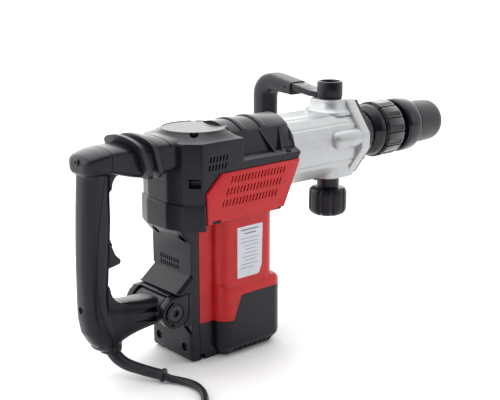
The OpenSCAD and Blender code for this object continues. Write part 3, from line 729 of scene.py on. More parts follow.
def make_rear_cover():
    """The rear cover, with its wedge over the pivot, a sloping ledge, a grille and screw pockets."""
    side = filleted([(REAR_X, 1), (SEAM_X - 0.25, 0), (SEAM_X - 0.25, 159), (REAR_X - 14, 156), (REAR_X, 138.5),
                     LEDGE_TOP, LEDGE_TIP, (-90.3, 82.8), (REAR_X, 82.8)],
                    [1.5, 0, 0, 2, 3, 3, 1, 0.9, 0])
    cover = prism("cover", side, -REAR_HALF, REAR_HALF, "y", 0.8, 0.8, 3)
    root = np.array([(PIVOT_X, 82), (-75.6, 82.9), (-75.6, 69), (PIVOT_X, 60)], float)
    ear = joined(rod("ear", (PIVOT_X, 0, PIVOT_Z), -40, 40, 18.3, "y"), prism("root", root, -40, 40, "y"))
    cheek = prism("cheek", filleted([(-84, 45), (-70, 45), (-70, 83), (-84, 83)], [6, 0, 0, 0]),
                  -REAR_HALF, REAR_HALF, "y", 1.5, 1.5, 3)
    cheek = cut(cheek, ear, box("middle", -90, -73, -26, 26, 40, 90))
    low_plate = prism("low_plate", filleted([(-35, 3.5), (35, 3.5), (35, 34), (22, 42), (-22, 42), (-35, 34)],
                                            [3, 3, 4, 4, 4, 4], 5), REAR_X - 2.4, REAR_X + 1, "x", 0.9, 0, 3)
    cover = joined(cover, cheek, low_plate)
    cutters = [ledge_bevel(side) for side in (-1, 1)]
    for row in (103.5, 110.6):
        for i in range(9):
            cutters.append(box("slot", REAR_X - 2, REAR_X + 5, 19 - 4 * i, 21.2 - 4 * i, row, row + 5.4))
    for y, z in COVER_SCREWS:
        depth = 3.9 if z > UPPER_COVER_Z else 2.7
        cutters.append(rod("well", (0, y, z), REAR_X - 20, REAR_X + depth, 4.8, "x", 40))
    cover = cut(cover, gathered("holes", cutters))
    finish_piece(cover, "rear_cover_shell", "rear_cover")


def make_bracket():
    """Two ears around the pivot bolt, with a web above and a plate on the cover."""
    outline = filleted([(PIVOT_X - 9, 81.2), (-76.2, 82.4), (-76.2, 70), (-84, 60), (PIVOT_X, 58)],
                       [2, 1, 0, 0, 0])
    pivot = (PIVOT_X, 0, PIVOT_Z)
    ears = []
    for side in (-1, 1):
        start, end = span(side, 26, REAR_HALF)
        ear = joined(rod("disc", pivot, start, end, 17.5, "y", 64, 1.0),
                     prism("root", outline, start + 0.1, end - 0.1, "y", 0.8, 0.8, 2))
        ring = turned("ring", [(0, 12.0), (0, 14.6), (4.4, 14.6), (4.4, 12.0)],
                      (PIVOT_X, side * REAR_HALF - 2.2, PIVOT_Z), "y", 64)
        rear_half_ring = kept(ring, box("rear", PIVOT_X - 20, PIVOT_X - 3, -50, 50, 40, 90))
        ears.append(cut(ear, rod("seat", pivot, *span(side, 30, 40), 10.2, "y"), rear_half_ring,
                        rod("bore", pivot, *span(side, 20, 40), 6.05, "y")))
    web = prism("web", filleted([(-97, 80.4), (REAR_X, 80.4), (REAR_X, 82.7), (-97, 82.7)], [0.9, 0, 0, 0.9]),
                -26.6, 26.6, "y")
    plate = box("plate", -75.9, REAR_X, -26.2, 26.2, 46, 82.4)
    bracket = joined(ears[0], ears[1], web, plate)
    finish_piece(bracket, "handle_bracket", "pivot_bracket")


def make_label():
    """A blank rating plate with plain rules in place of its print."""
    corners = [(-18.2, 90.2), (13.2, 90.2), (17.6, 101), (18.6, 149.2), (-18.2, 149.2)]
    plate = prism("plate", filleted(corners, [0.8, 4, 6, 0.8, 0.8], 4), -49.85, -49.3, "y", 0, 0)
    finish_piece(plate, "rating_plate", "rating_label")
    rules = []
    for i, (start, end) in enumerate([(-13, 13), (-8, 9), (-14, 13.5), (-14, 12), (-10, 12), (-7, 8), (-9, 10),
                                      (-12, 11), (-8, 9), (-14, 12), (-14, 6)]):
        thick, drop = (0.5, 1.0) if i > 1 else (1.3, 0.0)
        z = 144.5 - 4.3 * i - drop
        rules.append(box("rule", start, end, -49.95, -49.7, z, z + thick))
    extra_piece(gathered("rules", rules), "rating_plate_rules", RULE, "tool_body")


# ---- upper shroud ----
def shroud_outline(grow, front):
    """Plan of the shroud: flat sides, cut rear corners and a slightly bowed rear."""
    rear = CRANK_X - 51 - grow
    half = SHROUD_HALF + grow
    right = [(front, -half), (-67.5, -half), (-82 - grow, -37 - grow / 2), (rear, -17)]
    left = [(x, -y) for x, y in right[::-1]]
    return filleted(right + left, [2, 4, 6, 10, 10, 6, 4, 2])


def neck_outline(grow):
    """Section of the neck that the handle's arm enters: a low crown over straight sides."""
    top = [((30 + grow) * math.cos(math.radians(a)), 248 + (7 + grow) * math.sin(math.radians(a)))
           for a in range(0, 181, 10)]
    return filleted(top + [(-30 - grow, 217 - grow), (30 + grow, 217 - grow)], [1.2] + [0] * 17 + [1.2, 12, 12], 8)


def arch_outline(grow=0.0):
    """Section of the shroud over the barrel: a round crown, an edge, and a steep wall."""
    top = [((42.2 + grow) * math.cos(math.radians(a)), BARREL_Z + (42.2 + grow) * math.sin(math.radians(a)))
           for a in np.linspace(49.5, 130.5, 19)]
    return np.array([(40.4, 218), (38.8, 229)] + top + [(-38.8, 229), (-40.4, 218)])


def leaning_slot(x, z, width, lean, height, y0, y1):
    """A cutter for an air slot that leans forward towards its top."""
    corners = [(x, z), (x + width, z), (x + width + lean, z + height), (x + lean, z + height)]
    return prism("slot", np.array(corners), y0, y1, "y")


def make_shroud():
    """The black housing over crank and barrel, with its ribs, fins, slots, pockets and panel seats."""
    bottom, top = 160.2, 248.8
    upper = prism("upper", shroud_outline(0, -8.5), bottom, top, "z", 0, 1.2, 3)
    lower_side = filleted([(-30, bottom + 0.03), (46, bottom + 0.03), (73.5, 216), (75.5, 221), (75.5, 223),
                           (-30, 223)], [0, 3, 3, 1, 1, 0])
    lower = prism("lower", lower_side, -SHROUD_HALF + 0.04, SHROUD_HALF - 0.04, "y", 0.9, 0.9, 3)
    shelf = prism("shelf", filleted([(-50.9, 219.5), (50.9, 219.5), (50.6, 223.5), (42, 227.2), (-42, 227.2),
                                     (-50.6, 223.5)], [0, 0, 1, 0, 0, 1]), -12, 75.8, "x", 0, 0.5, 2)
    arch = prism("arch", arch_outline(), -12.2, RIM_X, "x", 0, 0.5, 2)
    bands = [cut(prism("band", arch_outline(1.5), start, end, "x", 0.7, 0.7, 2),
                 *[box("trim", -20, 80, *span(side, 27.2, 60), 200, 270) for side in (-1, 1)])
             for start, end in ((7, 14), (35.5, 43))]
    neck = prism("neck", neck_outline(0), -107, -70, "x", 0.8, 0, 2)
    base = prism("base", shroud_outline(2.0, -62.6), 155, 184, "z", 0, 2.0, 3)
    gear_room = rod("gear_room", (CRANK_X, 0, 0), 224, 240.4, 47.5, "z", 96, 0.6)
    shroud = joined(upper, lower, shelf, gear_room, arch, *bands, neck, base)
    fins = []
    for side in (-1, 1):
        for foot, head in ((41, 31), (51, 61)):
            points = [(foot, side * 46.5, 225), (foot + 2, side * 46.5, 225), (head + 2, side * 28.6, 250.2),
                      (head, side * 28.6, 250.2), (foot, side * 36, 225), (foot + 2, side * 36, 225),
                      (head + 2, side * 25, 248), (head, side * 25, 248)]
            faces = [(0, 1, 2, 3), (7, 6, 5, 4), (0, 4, 5, 1), (3, 2, 6, 7), (0, 3, 7, 4), (1, 5, 6, 2)]
            fins.append(solid("fin", points, faces))
        fins.append(rod("boss", (61, side * 46.5, 0), 222, 226.6, 3.6, "z", 32, 0.6))
    shroud = joined(shroud, *fins)
    cutters = [cut(prism("seam", neck_outline(3), -92.8, -91.5, "x"),
                   prism("core", neck_outline(-1.6), -95, -85, "x"), box("below", -95, -85, -40, 40, 200, 246))]
    cutters.append(box("notch", -95, -89, 24, 29.5, 245, 262))
    for side in (-1, 1):
        for row, z in enumerate((219.6, 228.4)):
            for i in range(6):
                x = -59 + 4.4 * i + 1.6 * row
                cutters.append(leaning_slot(x, z, 2.1, 1.6, 6, *span(side, 45, 56)))
        pocket = prism("pocket", rounded_rect(-9.6, 9.6, -5, 5, 4.9, 8), -4.2, 9)
        cutters.append(moved(moved(pocket, 90, "X"), -side * 44, "Z", (-76, side * 45, 207)))
        cutters.append(prism("seat", panel_outline(0.5), *span(side, SHROUD_HALF - 0.3, 60), "y"))
    cutters.append(prism("room", rounded_rect(-67, 44, -44, 44, 14), 150, 219))
    cutters.append(rod("bore", (0, 0, BARREL_Z), -20, 90, 38, "x", 96))
    shroud = cut(shroud, *cutters)
    finish_piece(shroud, "upper_shroud_shell", "upper_shroud")


def screw(name, centre, seat, axis, heading):
    """A socket screw head of 7.4 mm with a hexagon socket, its shank behind the seat."""
    head = rod(name, centre, *sorted((seat - 6 * heading, seat + 2.4 * heading)), 3.7, axis, 40, 0.4)
    socket = prism("socket", circle(*[centre[k] for k in range(3) if "xyz"[k] != axis], 1.9, 6),
                   *sorted((seat + 0.8 * heading, seat + 4 * heading)), axis)
    return cut(head, socket)


def make_screws():
    heads = [screw("screw", (x, y, 0), 247.6, "z", 1) for x, y in CAP_SCREWS]
    heads += [screw("screw", (0, y, z), REAR_X + (3.6 if z > UPPER_COVER_Z else 2.4), "x", -1)
              for y, z in COVER_SCREWS]
    finish_piece(gathered("screws", heads), "casing_screw_set", "housing_screws")


def make_top_cap():
    """The plate over the crank room: a raised disc that flows out to squared corners."""
    top = node_mm("top_cap")[1][2]
    count = 128
    disc_r = 37
    outline = anticlockwise(shroud_outline(-0.5, -9.2))
    closed = np.vstack([outline, outline[:1]])
    along = np.concatenate([[0], np.cumsum(np.linalg.norm(np.diff(closed, axis=0), axis=1))])
    even = np.linspace(0, along[-1], 4 * count, endpoint=False)
    dense = np.stack([np.interp(even, along, closed[:, 0]), np.interp(even, along, closed[:, 1])], 1)
    centre = np.array([CRANK_X, 0.0])
    angles = np.unwrap(np.arctan2(dense[:, 1], dense[:, 0] - CRANK_X))
    wanted = np.linspace(angles[0], angles[0] + 2 * math.pi, count, endpoint=False)
    radii = np.interp(wanted, np.append(angles, angles[0] + 2 * math.pi),
                      np.append(np.linalg.norm(dense - centre, axis=1), np.linalg.norm(dense[0] - centre)))
    rings = []
    for share, z in ((1.0, 247.0), (1.0, 249.0), (0.985, 249.5), (0.9, 249.9), (0.7, 250.9), (0.5, 252.4),
                     (0.3, 254.3), (0.12, 256.2), (0.03, 257.5), (0.0, top - 0.6), (-0.04, top), (-0.12, top),
                     (-0.16, top - 0.5), (-2.6, top - 0.5)):
        reach = disc_r + share * (radii - disc_r) if share >= 0 else np.full(count, disc_r + 13 * share)
        rings.append(np.stack([CRANK_X + reach * np.cos(wanted), reach * np.sin(wanted), np.full(count, z)], 1))
    cap = loft("cap", rings, 30)
    holes = [rod("hole", (x, y, 0), 247.9, 262, 4.7, "z", 40) for x, y in CAP_SCREWS]
    cap = cut(cap, gathered("holes", holes))
    finish_piece(cap, "crank_room_cap", "top_cap")


def panel_outline(grow=0.0):
    """Side view of a red vent panel."""
    corners = [(-62.4, 161.2), (-55, 161.2), (25, 161.2), (37, 162.4), (48, 163.4), (72.8, 215.2), (-41.8, 214.6),
               (-62.4, 195.4)]
    outline = filleted(corners, [1.2, 0, 6, 0, 2, 1.2, 1.5, 1.5], 4)
    return inset(anticlockwise(outline), -grow) if grow else outline


def make_panels():
    """The two vent panels, each with three rows of slots and two notches below."""
    panel = prism("panel", panel_outline(), -53.9, -SHROUD_HALF + 0.2, "y", 0.9, 0, 3)
    slots = []
    for row in range(3):
        for i in range(17):
            x, z = -43.5 + 6.3 * row + 4.75 * i, 178.0 + 12.4 * row
            slots.append(leaning_slot(x, z, 1.9, 2.8, 7.4, -60, -40))
    slots.append(box("notch", -56, -44.5, -60, -40, 155, 164.6))
    slots.append(box("notch", 38.5, 46.5, -60, -40, 155, 164.4))
    panel = cut(panel, gathered("slots", slots))
    twin = mirrored(panel, "panel_twin")
    finish_piece(panel, "vent_panel_right", "side_panel_right")
    finish_piece(twin, "vent_panel_left", "side_panel_left")


# ---- barrel ----
def barrel_outline():
    """Section of the casting, with a ledge along each side and a keel below."""
    half = [(0, 34.9), (13, 34.9), (20, 34.4), (21.6, 32.9), (25.5, 31.3), (33.2, 24.4), (34.4, 22.2),
            (36.4, 21.2), (40.6, 8), (41.0, -2), (39.6, -12), (36.2, -22), (33.8, -23.4), (32.6, -28), (17, -44.6),
            (0, -44.6)]
    points = [(y, BARREL_Z + z) for y, z in half] + [(-y, BARREL_Z + z) for y, z in half[-2:0:-1]]
    radii = [0, 2, 3, 1.0, 1.6, 3, 0.8, 1.2, 6, 8, 8, 2, 0.8, 3, 4, 0]
    return filleted(points, radii + radii[-2:0:-1], 3)


def flange_outline():
    corners = [(20, -48.3), (49, -9), (49, 9), (20, 48.5), (-20, 48.5), (-49, 9), (-49, -9), (-20, -48.3)]
    return filleted([(y, BARREL_Z + z) for y, z in corners], [5, 4, 4, 6, 6, 4, 4, 5], 5)


def make_barrel():
    """The silver casting: the barrel, its six-sided flange, the side handle's seats and two lugs."""
    body = prism("body", barrel_outline(), RIM_X + 0.5, 184, "x")
    inner = rod("inner", (0, 0, BARREL_Z), 30, RIM_X + 2, 37.4, "x", 96)
    flange = prism("flange", flange_outline(), 181, FLANGE_X, "x", 2.2, 1.2, 4)
    plan = filleted([(SIDE_X - 20, -18), (SIDE_X - 8, -20), (FLANGE_X - 2, -20), (FLANGE_X - 2, 20),
                     (SIDE_X - 8, 20), (SIDE_X - 20, 18)], [12, 8, 3, 3, 8, 12], 6)
    top_seat = stacked("top_seat", plan, [(-9, 250), (-7.4, 253.6), (-4.4, 255.6), (-2.2, 258), (-0.9, 261),
                                          (-0.2, 264), (0, 266.6), (0.6, 267.6), (1.4, 267.8)], 30)
    low_seat = stacked("low_seat", plan, [(-2.5, 171), (-3.4, 171.8), (-4.5, 175), (-7, 182), (-9, 190)], 30)
    lugs = []
    for side in (-1, 1):
        profile = [(138.4, 0), (138.4, 2), (138.9, 5), (140.2, 8), (142.6, 10.4), (146, 11.6), (188, 11.8),
                   (188, 0)]
        lugs.append(turned("lug", profile, (0, side * 37.6, BARREL_Z + 4), "x", 40))
        wedge = [[(x, side * y, BARREL_Z + 4 + z) for y, z in ((20, -top), (out, -low), (out, low), (20, top))]
                 for x, out, low, top in ((154, 44, 2.5, 13), (183.5, 49, 5, 26))]
        lugs.append(loft("wedge", wedge))
    barrel = joined(body, inner, flange, top_seat, low_seat, *lugs, smooth=20)
    holes = [rod("bore", (0, 0, BARREL_Z), 20, 187, 21.05, "x", 64),
             rod("seat", (0, 0, BARREL_Z), 186.5, 200, 28.4, "x", 64),
             rod("bolt", (SIDE_X, 0, 0), 246, 270, 5.1, "z", 32),
             rod("stud", (SIDE_X, 0, 0), 160, 191, 5.1, "z", 32)]
    barrel = cut(barrel, *holes, smooth=20)
    finish_piece(barrel, "barrel_casting", "barrel_housing")


# ---- rear handle ----
def grip_section(z):
    """Rear x, front x and half width of the grip at a height."""
    heights = [28, 34, 42, 55, 71, 91, 127, 150, 176, 205, 225, 240]
    rear = [-163, -172, -181, -188, -190.6, -190.8, -190.6, -189.8, -188.4, -186.4, -184.6, -184]
    front = [-150, -148, -147, -150, -159, -161.6, -158, -156, -154.5, -154.5, -154, -153]
    half = [7.5, 11.5, 14.5, 16, 16, 15.6, 15.4, 15.6, 16, 16.2, 16.8, 18]
    return [float(np.interp(z, heights, values)) for values in (rear, front, half)]


def oval(cx, cy, rx, ry, power, count=48):
    """A rounded rectangle between an ellipse (power 2) and a box (a high power)."""
    points = []
    for k in range(count):
        a = 2 * math.pi * k / count
        c, s = math.cos(a), math.sin(a)
        points.append((cx + rx * math.copysign(abs(c) ** (2 / power), c),
                       cy + ry * math.copysign(abs(s) ** (2 / power), s)))
    return np.array(points)


def crowned_section(half, top, bottom, drop, round_r, count=24):
    """(y, z) points of a low arc above flat sides, with a rounded underside."""
    points = [(half * math.cos(math.pi * k / count), top - drop + drop * math.sin(math.pi * k / count))
              for k in range(count + 1)]
    for quarter, y in ((math.pi, -half + round_r), (1.5 * math.pi, half - round_r)):
        for k in range(9):
            a = quarter + math.pi / 2 * k / 8
            points.append((y + round_r * math.cos(a), bottom + round_r + round_r * math.sin(a)))
    return np.array(points)


def arm_ring(x, top, bottom, half, drop):
    round_r = min(9.0, (top - drop - bottom) * 0.55, half * 0.6)
    return placed(crowned_section(half, top, bottom, drop, round_r), x, "x")


def inner_corner(x0, x1, z0, z1, half, centre, radius):
    """A filler for the corner between grip and arm, hollowed by a round bar."""
    block = prism("block", rectangle(x0, x1, z0, z1), -half, half, "y", 4, 4)
    return cut(block, rod("round", centre, -30, 30, radius, "y", 64))


def handle_solid():
    """The whole D handle in one form: grip, upper arm, lower arm and pivot boss, melted together."""
    grip_rings = []
    for z in list(range(28, 72, 3)) + list(range(74, 246, 6)):
        rear, front, half = grip_section(z)
        grip_rings.append(placed(oval((rear + front) / 2, 0, (front - rear) / 2, half, 2.7), z, "z"))
    grip = loft("grip", grip_rings)
    arm = [(-187.6, 240, 229, 12, 4), (-186.4, 244.5, 227, 17, 5), (-183.5, 247, 226, 20, 5.5),
           (-178, 249, 225.4, 22, 6), (-170, 251, 225.6, 23.4, 6.2), (-160, 252.4, 226, 24, 6.2),
           (-156, 252.4, 225.2, 24, 6.2), (-150, 252.6, 223.6, 24, 6), (-140, 252.6, 220.6, 24, 6),
           (-130, 252.6, 217.8, 24, 6), (-122, 252.6, 216.4, 24, 6)]
    top = loft("top", [arm_ring(*ring) for ring in arm])
    low_rings = []
    for x, top_z, bottom_z, half in ((-176, 78, 34, 13), (-168, 84, 30.5, 14.5), (-160, 86, 30.5, 15.2),
                                     (-152, 85, 33, 15.6), (-146, 83.4, 37.4, 16.2), (-138, 82, 41, 17.6),
                                     (-126, 80.6, 44.4, 19.4), (-112, 79.4, 47, 21.5), (-96, 78.6, 49, 23.5),
                                     (-88, 74, 54, 23.5)):
        low_rings.append(placed(oval(0, (top_z + bottom_z) / 2, half, (top_z - bottom_z) / 2, 3.0), x, "x"))
    low = loft("low", low_rings)
    boss = rod("boss", (PIVOT_X, 0, PIVOT_Z), -24.5, 24.5, 16.3, "y", 48, 1.5)
    nose = prism("nose", circle(-156, 0, 12.5, 40), 26.5, 50, "z", 3, 0)
    inner_low = inner_corner(-166, -137, 78, 104, 11, (-139.5, 0, 101.5), 20)
    inner_high = inner_corner(-160, -138, 206, 230, 12, (-138, 0, 209), 15.4)
    form = joined(grip, top, low, boss, nose, inner_low, inner_high)
    remesh = form.modifiers.new("even", "REMESH")
    remesh.mode = "VOXEL"
    remesh.voxel_size = 0.0011
    bake(form)
    ease = form.modifiers.new("ease", "SMOOTH")
    ease.factor = 0.5
    ease.iterations = 6
    bake(form)
    return form


def split_outline(shift):
    """Side view of the line where the handle's two shells meet."""
    line = [(-160, 20), (-163, 44), (-170.5, 62), (-176.4, 84), (-178.6, 112), (-177.4, 143), (-172.5, 182),
            (-166.6, 216), (-163, 226), (-160, 233), (-160, 262)]
    smooth = smooth_line([(x, 0, z) for x, z in line[:-2]], 4)
    points = [(x + shift, z) for x, _, z in smooth] + [(x + shift, z) for x, z in line[-2:]]
    return np.array([(-220, 10), (-160 + shift, 10)] + points + [(-220, 262)])


def make_handle():
    """The handle's two shells, with grooves, screw wells, the pivot's bore and the trigger's room."""
    form = handle_solid()
    cutters = []
    for side in (-1, 1):
        for z_far, z_near, z_tip in ((72.6, 66.4, 70.6), (62.8, 55.2, 60.6)):
            groove = np.array([(-140, z_tip), (-109, z_near), (-109, z_far)], float)
            cutters.append(prism("groove", groove, *span(side, 17.2, 40), "y"))
    cutters.append(rod("screw", (0, 0, 82), GRIP_REAR_X - 10, GRIP_REAR_X + 6, 4.0, "x", 32))
    cutters.append(rod("screw", (0, 0, 240), GRIP_REAR_X - 10, GRIP_REAR_X + 9, 4.0, "x", 32))
    cutters.append(rod("bore", (PIVOT_X, 0, PIVOT_Z), -40, 40, 9.05, "y", 48))
    cutters.append(rod("inlet", (-156, 0, 0), 20, 50, 8.7, "z", 40))
    cutters.append(prism("trigger_room", rounded_rect(-181, -149, -9.7, 9.7, 1.5, 3), 113, 160))
    cutters.append(box("pin_room", -160, -156, -12.1, 12.1, 148, 152))
    form = cut(form, *cutters)
    front = copied(form, "front")
    rear = kept(form, prism("split", split_outline(-0.3), -60, 60, "y"))
    front = cut(front, prism("split", split_outline(0.3), -60, 60, "y"))
    finish_piece(rear, "grip_rear_shell", "handle_rear_shell")
    finish_piece(front, "grip_front_shell", "handle_front_shell")


def make_trigger():
    """A finger lever with a hooked lower tip and a dished front."""
    side = filleted([(-162.5, 155), (-156.2, 155.2), (-154.4, 146), (-150.6, 136.5), (-144.0, 129.6),
                     (-145.4, 125.6), (-153, 124.0), (-160, 123.0), (-163.5, 127)],
                    [1.5, 2, 6, 10, 1.4, 1.5, 3, 1.5, 1.5], 5)
    lever = prism("lever", side, -9, 9, "y", 1.2, 1.2, 3)
    lever = cut(lever, rod("pin", (TRIGGER_X, 0, TRIGGER_Z), -12, 12, 1.66, "y", 24))
    finish_piece(lever, "trigger_lever_piece", "trigger")


# ---- bellows ----
def bellows_section(grow, centre_x, lean):
    """A ring of the bellows around the arm, leaning back towards its top."""
    section = crowned_section(30 + grow, 256.6 + grow, 220 - grow, 12, 10.0)
    return [(centre_x - lean * (z - ARM_Z), y, z) for y, z in section]


def make_bellows():
    """Two soft flanges with a valley between them, from the handle's arm to the shroud's neck."""
    steps = [(-6.5, -128.4, 0.26), (3.6, -128.0, 0.34), (4.3, -127.4, 0.36), (4.3, -122.6, 0.36),
             (3.6, -122.0, 0.36), (-1.8, -121.0, 0.33), (-2.4, -117.4, 0.29), (-1.8, -114.0, 0.26),
             (3.0, -113.4, 0.25), (3.8, -112.8, 0.25), (3.8, -107.8, 0.22), (3.0, -107.0, 0.20),
             (0.2, -106.6, 0.18)]
    outer = [bellows_section(grow, x, lean) for grow, x, lean in steps]
    inner = [bellows_section(-7.5, x, lean) for x, lean in ((-106.6, 0.18), (-117, 0.26), (-128, 0.24))]
    bellows = loft("bellows", outer + inner, 32, closed=True)
    finish_piece(bellows, "arm_bellows", "bellows", rides=False)
    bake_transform(bellows)


# ---- side handle ----
def flipped(made):
    """A solid turned over about the barrel's height."""
    lift = Matrix.Translation(Vector((0, 0, 2 * MM * BARREL_Z)))
    made.data.transform(lift @ Matrix.Scale(-1, 4, Vector((0, 0, 1))))
    made.data.flip_normals()
    return made


def make_side_frame():
    """Two arms around the barrel's seats, each with a boss, a sloping plate and a bar in the grip."""
    top = 268.2
    screw_axis = (SIDE_X, 0, 0)
    upper_boss = [(top, 5.3), (276, 5.3), (276, 11.6), (287.6, 11.8), (288.6, 12.4), (289, 13.2), (288.6, 15),
                  (287.6, 15.7), (271, 15.7), (269, 15.2), (top, 14.4)]
    lower_boss = [(157.2, 5.3), (157.2, 13), (158, 14), (169.2, 14), (170.2, 13), (170.2, 5.3)]
    plate_side = filleted([(10, top), (26, top), (60, top + 4.2), (60, top + 13.2), (26, top + 7.4),
                           (10, top + 7.0)], [0, 8, 0, 0, 8, 0])
    halves = []
    for profile, place, room in ((upper_boss, lambda made: made, (260, 290)), (lower_boss, flipped, (150, 180))):
        boss = turned("boss", profile, screw_axis, "z", 64)
        plate = place(prism("plate", plate_side, SIDE_X - 12, SIDE_X + 12, "x", 1.6, 1.6, 3))
        plate = cut(plate, rod("boss_room", screw_axis, *room, 12, "z", 48))
        bar = place(prism("bar", rounded_rect(SIDE_X - 6, SIDE_X + 6, top + 2.4, top + 10, 2, 3), 40, 100, "y"))
        halves.append(joined(boss, plate, bar))
    core = rod("core", (SIDE_X, 118, 0), 180, 262, 6, "z", 24)
    frame_piece = gathered("frame", [*halves, core])
    finish_piece(frame_piece, "side_handle_bow", "side_handle_frame")


def make_side_grip():
    """A rubber bow: flat-sided arms that turn through wide corners into a round grip."""
    top, reach, corner = 276.4, node_mm("side_grip")[1][1] - 15.5, 21.0
    line, shape = [], []
    for k in range(9):
        line.append((57.5 + k / 8 * (reach - corner - 57.5), top - 2.6 + 4.2 * k / 8))
        shape.append(0.35 * k / 8)
    for k in range(1, 13):
        a = math.pi / 2 * (1 - k / 12)
        line.append((reach - corner + corner * math.cos(a), top + 1.6 - corner + corner * math.sin(a)))
        shape.append(0.35 + 0.65 * k / 12)
    line += [(reach, BARREL_Z + 25), (reach, BARREL_Z)]
    shape += [1.0, 1.0]
    line += [(y, 2 * BARREL_Z - z) for y, z in line[-2::-1]]
    shape += shape[-2::-1]
    rings = []
    for i, (y, z) in enumerate(line):
        before, after = line[max(i - 1, 0)], line[min(i + 1, len(line) - 1)]
        ahead = unit(np.array([after[0] - before[0], after[1] - before[1]]))
        across = np.array([ahead[1], -ahead[0]])
        half_x, half_n = 14 + 1.4 * shape[i], 8.4 + 7.0 * shape[i]
        power = 5.0 - 2.8 * shape[i]
        section = oval(0, 0, half_x, half_n, power, 40)
        rings.append([(SIDE_X + u, y + v * across[0], z + v * across[1]) for u, v in section])
    ends = []
    for ring in (np.array(rings[0]), np.array(rings[-1])):
        middle = ring.mean(0)
        ends.append(list(middle + (ring - middle) * 0.9 + (0, -0.6, 0)))
    grip = loft("grip", [ends[0], *rings, ends[1]], 40)
    pins = [rod("dot", (0, 66, side), 140, 160.6, 1.3, "x", 16) for side in (top - 1, 2 * BARREL_Z - top + 1)]
    grip = cut(grip, *pins, smooth=40)
    finish_piece(grip, "side_grip_rubber", "side_grip")


def make_knob():
    """A clamping knob with broad flutes, a domed base and a short neck."""
    base = node_mm("clamp_knob")[0][2]

    def flutes(along, radius, angle):
        if radius < 18:
            return 0.0
        depth = 1.7 * max(0.0, math.cos(9 * angle)) ** 4
        return -depth * (1.0 if along < 31 else max(0.0, (35 - along) / 4))

    profile = [(0, 0), (0, 15), (0.6, 18), (2.0, 20.6), (4.6, 22.8), (8, 23.9), (12, 24), (20, 24), (29, 23.8),
               (31.6, 23.2), (33.6, 21.6), (34.6, 19.2), (34.8, 15), (35.0, 13.4), (35.4, 13.2), (35.5, 13.1),
               (35.5, 0)]
    knob = turned("knob", profile, (SIDE_X, 0, base), "z", 144, flutes, 40)
    stud = rod("stud", (SIDE_X, 0, 0), base + 30, 190, 5, "z", 32, 0.8)
    knob = joined(knob, stud, smooth=40)
    finish_piece(knob, "clamping_knob", "clamp_knob")


# ---- chuck ----
def make_ring():
    """The angle ring, with twelve lugs parted by grooves and dished between them."""
    start, end = ends_x("angle_ring")
    profile = [(start + along, radius) for along, radius in
               [(0, 25.6), (0, 27.2), (0.8, 28.2), (7.6, 32.0), (9, 32.6), (13.6, 32.8), (14.6, 31.4),
                (16.4, 31.4), (17.6, 34.4), (19, 35.6), (46, 35.6), (47.6, 34.6), (48.2, 32.4)]]
    profile += [(end - 1, 31.8), (end, 31), (end, 25.6)]
    ring = turned("ring", profile, (0, 0, BARREL_Z), "x", 120)
    grooves = []
    for k in range(12):
        groove = box("groove", start + 16, start + 49, -1.0, 1.0, 32.4, 40)
        dish = prism("dish", rounded_rect(start + 21, start + 43, 2.6, 14.2, 2, 3), 34.75, 40)
        grooves.append(moved(gathered("tool", [groove, dish]), 30 * k, "X", (0, 0, BARREL_Z)))
    ring = cut(ring, gathered("grooves", grooves))
    finish_piece(ring, "lugged_ring", "angle_ring")


def make_sleeve():
    start, end = ends_x("locking_sleeve")
    profile = [(start + along, radius) for along, radius in
               [(0, 26.2), (0, 32.6), (0.6, 33.4), (2.6, 34.6), (4, 35), (20, 35), (21.6, 34.6), (28.6, 29.8)]]
    profile += [(end - 0.2, 29), (end, 28.4), (end, 20.1), (312, 20.1), (312, 26.2)]
    sleeve = turned("sleeve", profile, (0, 0, BARREL_Z), "x", 120)
    finish_piece(sleeve, "release_sleeve", "locking_sleeve")


def make_neck_pin():
    """The retaining pin's round head on the side of the chuck's neck."""
    pin = rod("pin", (221, 0, BARREL_Z - 6), -28.2, -22, 3.3, "y", 32, 0.6)
    extra_piece(pin, "neck_pin_head", DARK_STEEL, BODY_OF["tool_holder"])


def make_sleeve_spring():
    """The sleeve's return spring as a coil of fixed length; the real spring shortens as the sleeve is drawn back.
    """
    start, end = ends_x("sleeve_spring")
    wire, turns, steps = 0.9, 4, 160
    coil_r = node_mm("sleeve_spring")[1][1] - wire
    line = []
    for k in range(steps + 1):
        angle = 2 * math.pi * turns * k / steps
        along = start + wire + (end - start - 2 * wire) * k / steps
        line.append(np.array([along, coil_r * math.cos(angle), BARREL_Z + coil_r * math.sin(angle)]))
    spring = loft("spring", tube_rings(line, [wire] * len(line), 10), 60)
    finish_piece(spring, "sleeve_return_spring", "sleeve_spring")
    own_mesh(spring)


def make_dust_cap():
    start, end = ends_x("dust_cap")
    profile = [(start, 20.05), (start, 27.6), (start + 0.8, 28.4), (end - 12, 27.5), (end - 7, 26.8),
               (end - 4, 25.6), (end - 1.6, 23.6), (end - 0.4, 21.4), (end, 19), (end, 15.6), (end - 0.6, 14.8),
               (end - 7, 9.95), (352.2, 9.95), (352.2, 18.1), (346, 20.05)]
    cap = turned("cap", profile, (0, 0, BARREL_Z), "x", 96)
    finish_piece(cap, "nose_cap", "dust_cap")


for make in (make_motor_housing, make_end_cap, make_rear_cover, make_bracket, make_label, make_shroud,
             make_top_cap, make_screws, make_panels, make_barrel, make_handle, make_trigger, make_bellows,
             make_side_frame, make_side_grip, make_knob, make_ring, make_sleeve, make_sleeve_spring,
             make_neck_pin, make_dust_cap):
    make()

# ---- finishes of the CAD nodes that stay ----
for name, node in cad.items():
    node.data.materials.clear()
    node.data.materials.append(FINISHES[SLOT_OF[name]])


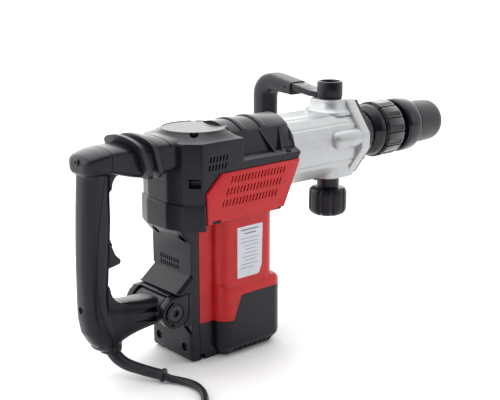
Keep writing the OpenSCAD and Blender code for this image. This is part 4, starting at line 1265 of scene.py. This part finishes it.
# ---- floor and light ----
def make_stage():
    mesh = bpy.data.meshes.new("floor")
    size = 30.0
    mesh.from_pydata([(-size, -size, 0), (size, -size, 0), (size, size, 0), (-size, size, 0)], [], [(0, 1, 2, 3)])
    floor = bpy.data.objects.new("floor", mesh)
    bpy.context.scene.collection.objects.link(floor)
    floor.location.z = -0.0004
    material = surface("pale_floor", (0.90, 0.90, 0.905), (0.92, 0.92, 0.925), 0.6, 0.7, 40, 0.02, 0.0, 2.0)
    mesh.materials.append(material)


def make_light(name, place, target, size, power):
    data = bpy.data.lights.new(name, "AREA")
    data.shape = "RECTANGLE"
    data.size, data.size_y = size
    data.energy = power
    lamp = bpy.data.objects.new(name, data)
    bpy.context.scene.collection.objects.link(lamp)
    lamp.location = place
    lamp.rotation_euler = (Vector(target) - Vector(place)).to_track_quat("-Z", "Y").to_euler()


def make_world():
    """A white surround, bright towards +Y and dim towards -Y, that the lens itself sees as even."""
    bright_way, dimmest, brightest = (0.35, 0.94, 0.0), 0.02, 2.9
    world = bpy.data.worlds.new("studio")
    bpy.context.scene.world = world
    world.use_nodes = True
    nodes, links = world.node_tree.nodes, world.node_tree.links
    background = nodes["Background"]
    background.inputs["Color"].default_value = (1.0, 1.0, 1.0, 1)
    direction = nodes.new("ShaderNodeTexCoord")
    along = nodes.new("ShaderNodeVectorMath")
    along.operation = "DOT_PRODUCT"
    along.inputs[1].default_value = bright_way
    links.new(direction.outputs["Generated"], along.inputs[0])
    strength = nodes.new("ShaderNodeMapRange")
    strength.inputs["From Min"].default_value = -1.0
    strength.inputs["To Min"].default_value = dimmest
    strength.inputs["To Max"].default_value = brightest
    links.new(along.outputs["Value"], strength.inputs["Value"])
    rays = nodes.new("ShaderNodeLightPath")
    seen = nodes.new("ShaderNodeMix")
    seen.inputs["B"].default_value = 1.0
    links.new(rays.outputs["Is Camera Ray"], seen.inputs["Factor"])
    links.new(strength.outputs["Result"], seen.inputs["A"])
    links.new(seen.outputs["Result"], background.inputs["Strength"])


make_stage()
make_world()
make_light("top_softbox", (0.1, 0.2, 1.9), (0, 0, 0.1), (1.6, 1.6), 8)
make_light("rear_left_softbox", (-1.6, 0.8, 1.1), (0, 0, 0.15), (1.2, 1.2), 6)
make_light("front_right_softbox", (1.2, -1.4, 0.9), (0.1, 0, 0.15), (1.0, 1.0), 2)
bpy.context.scene.view_settings.view_transform = "Standard"
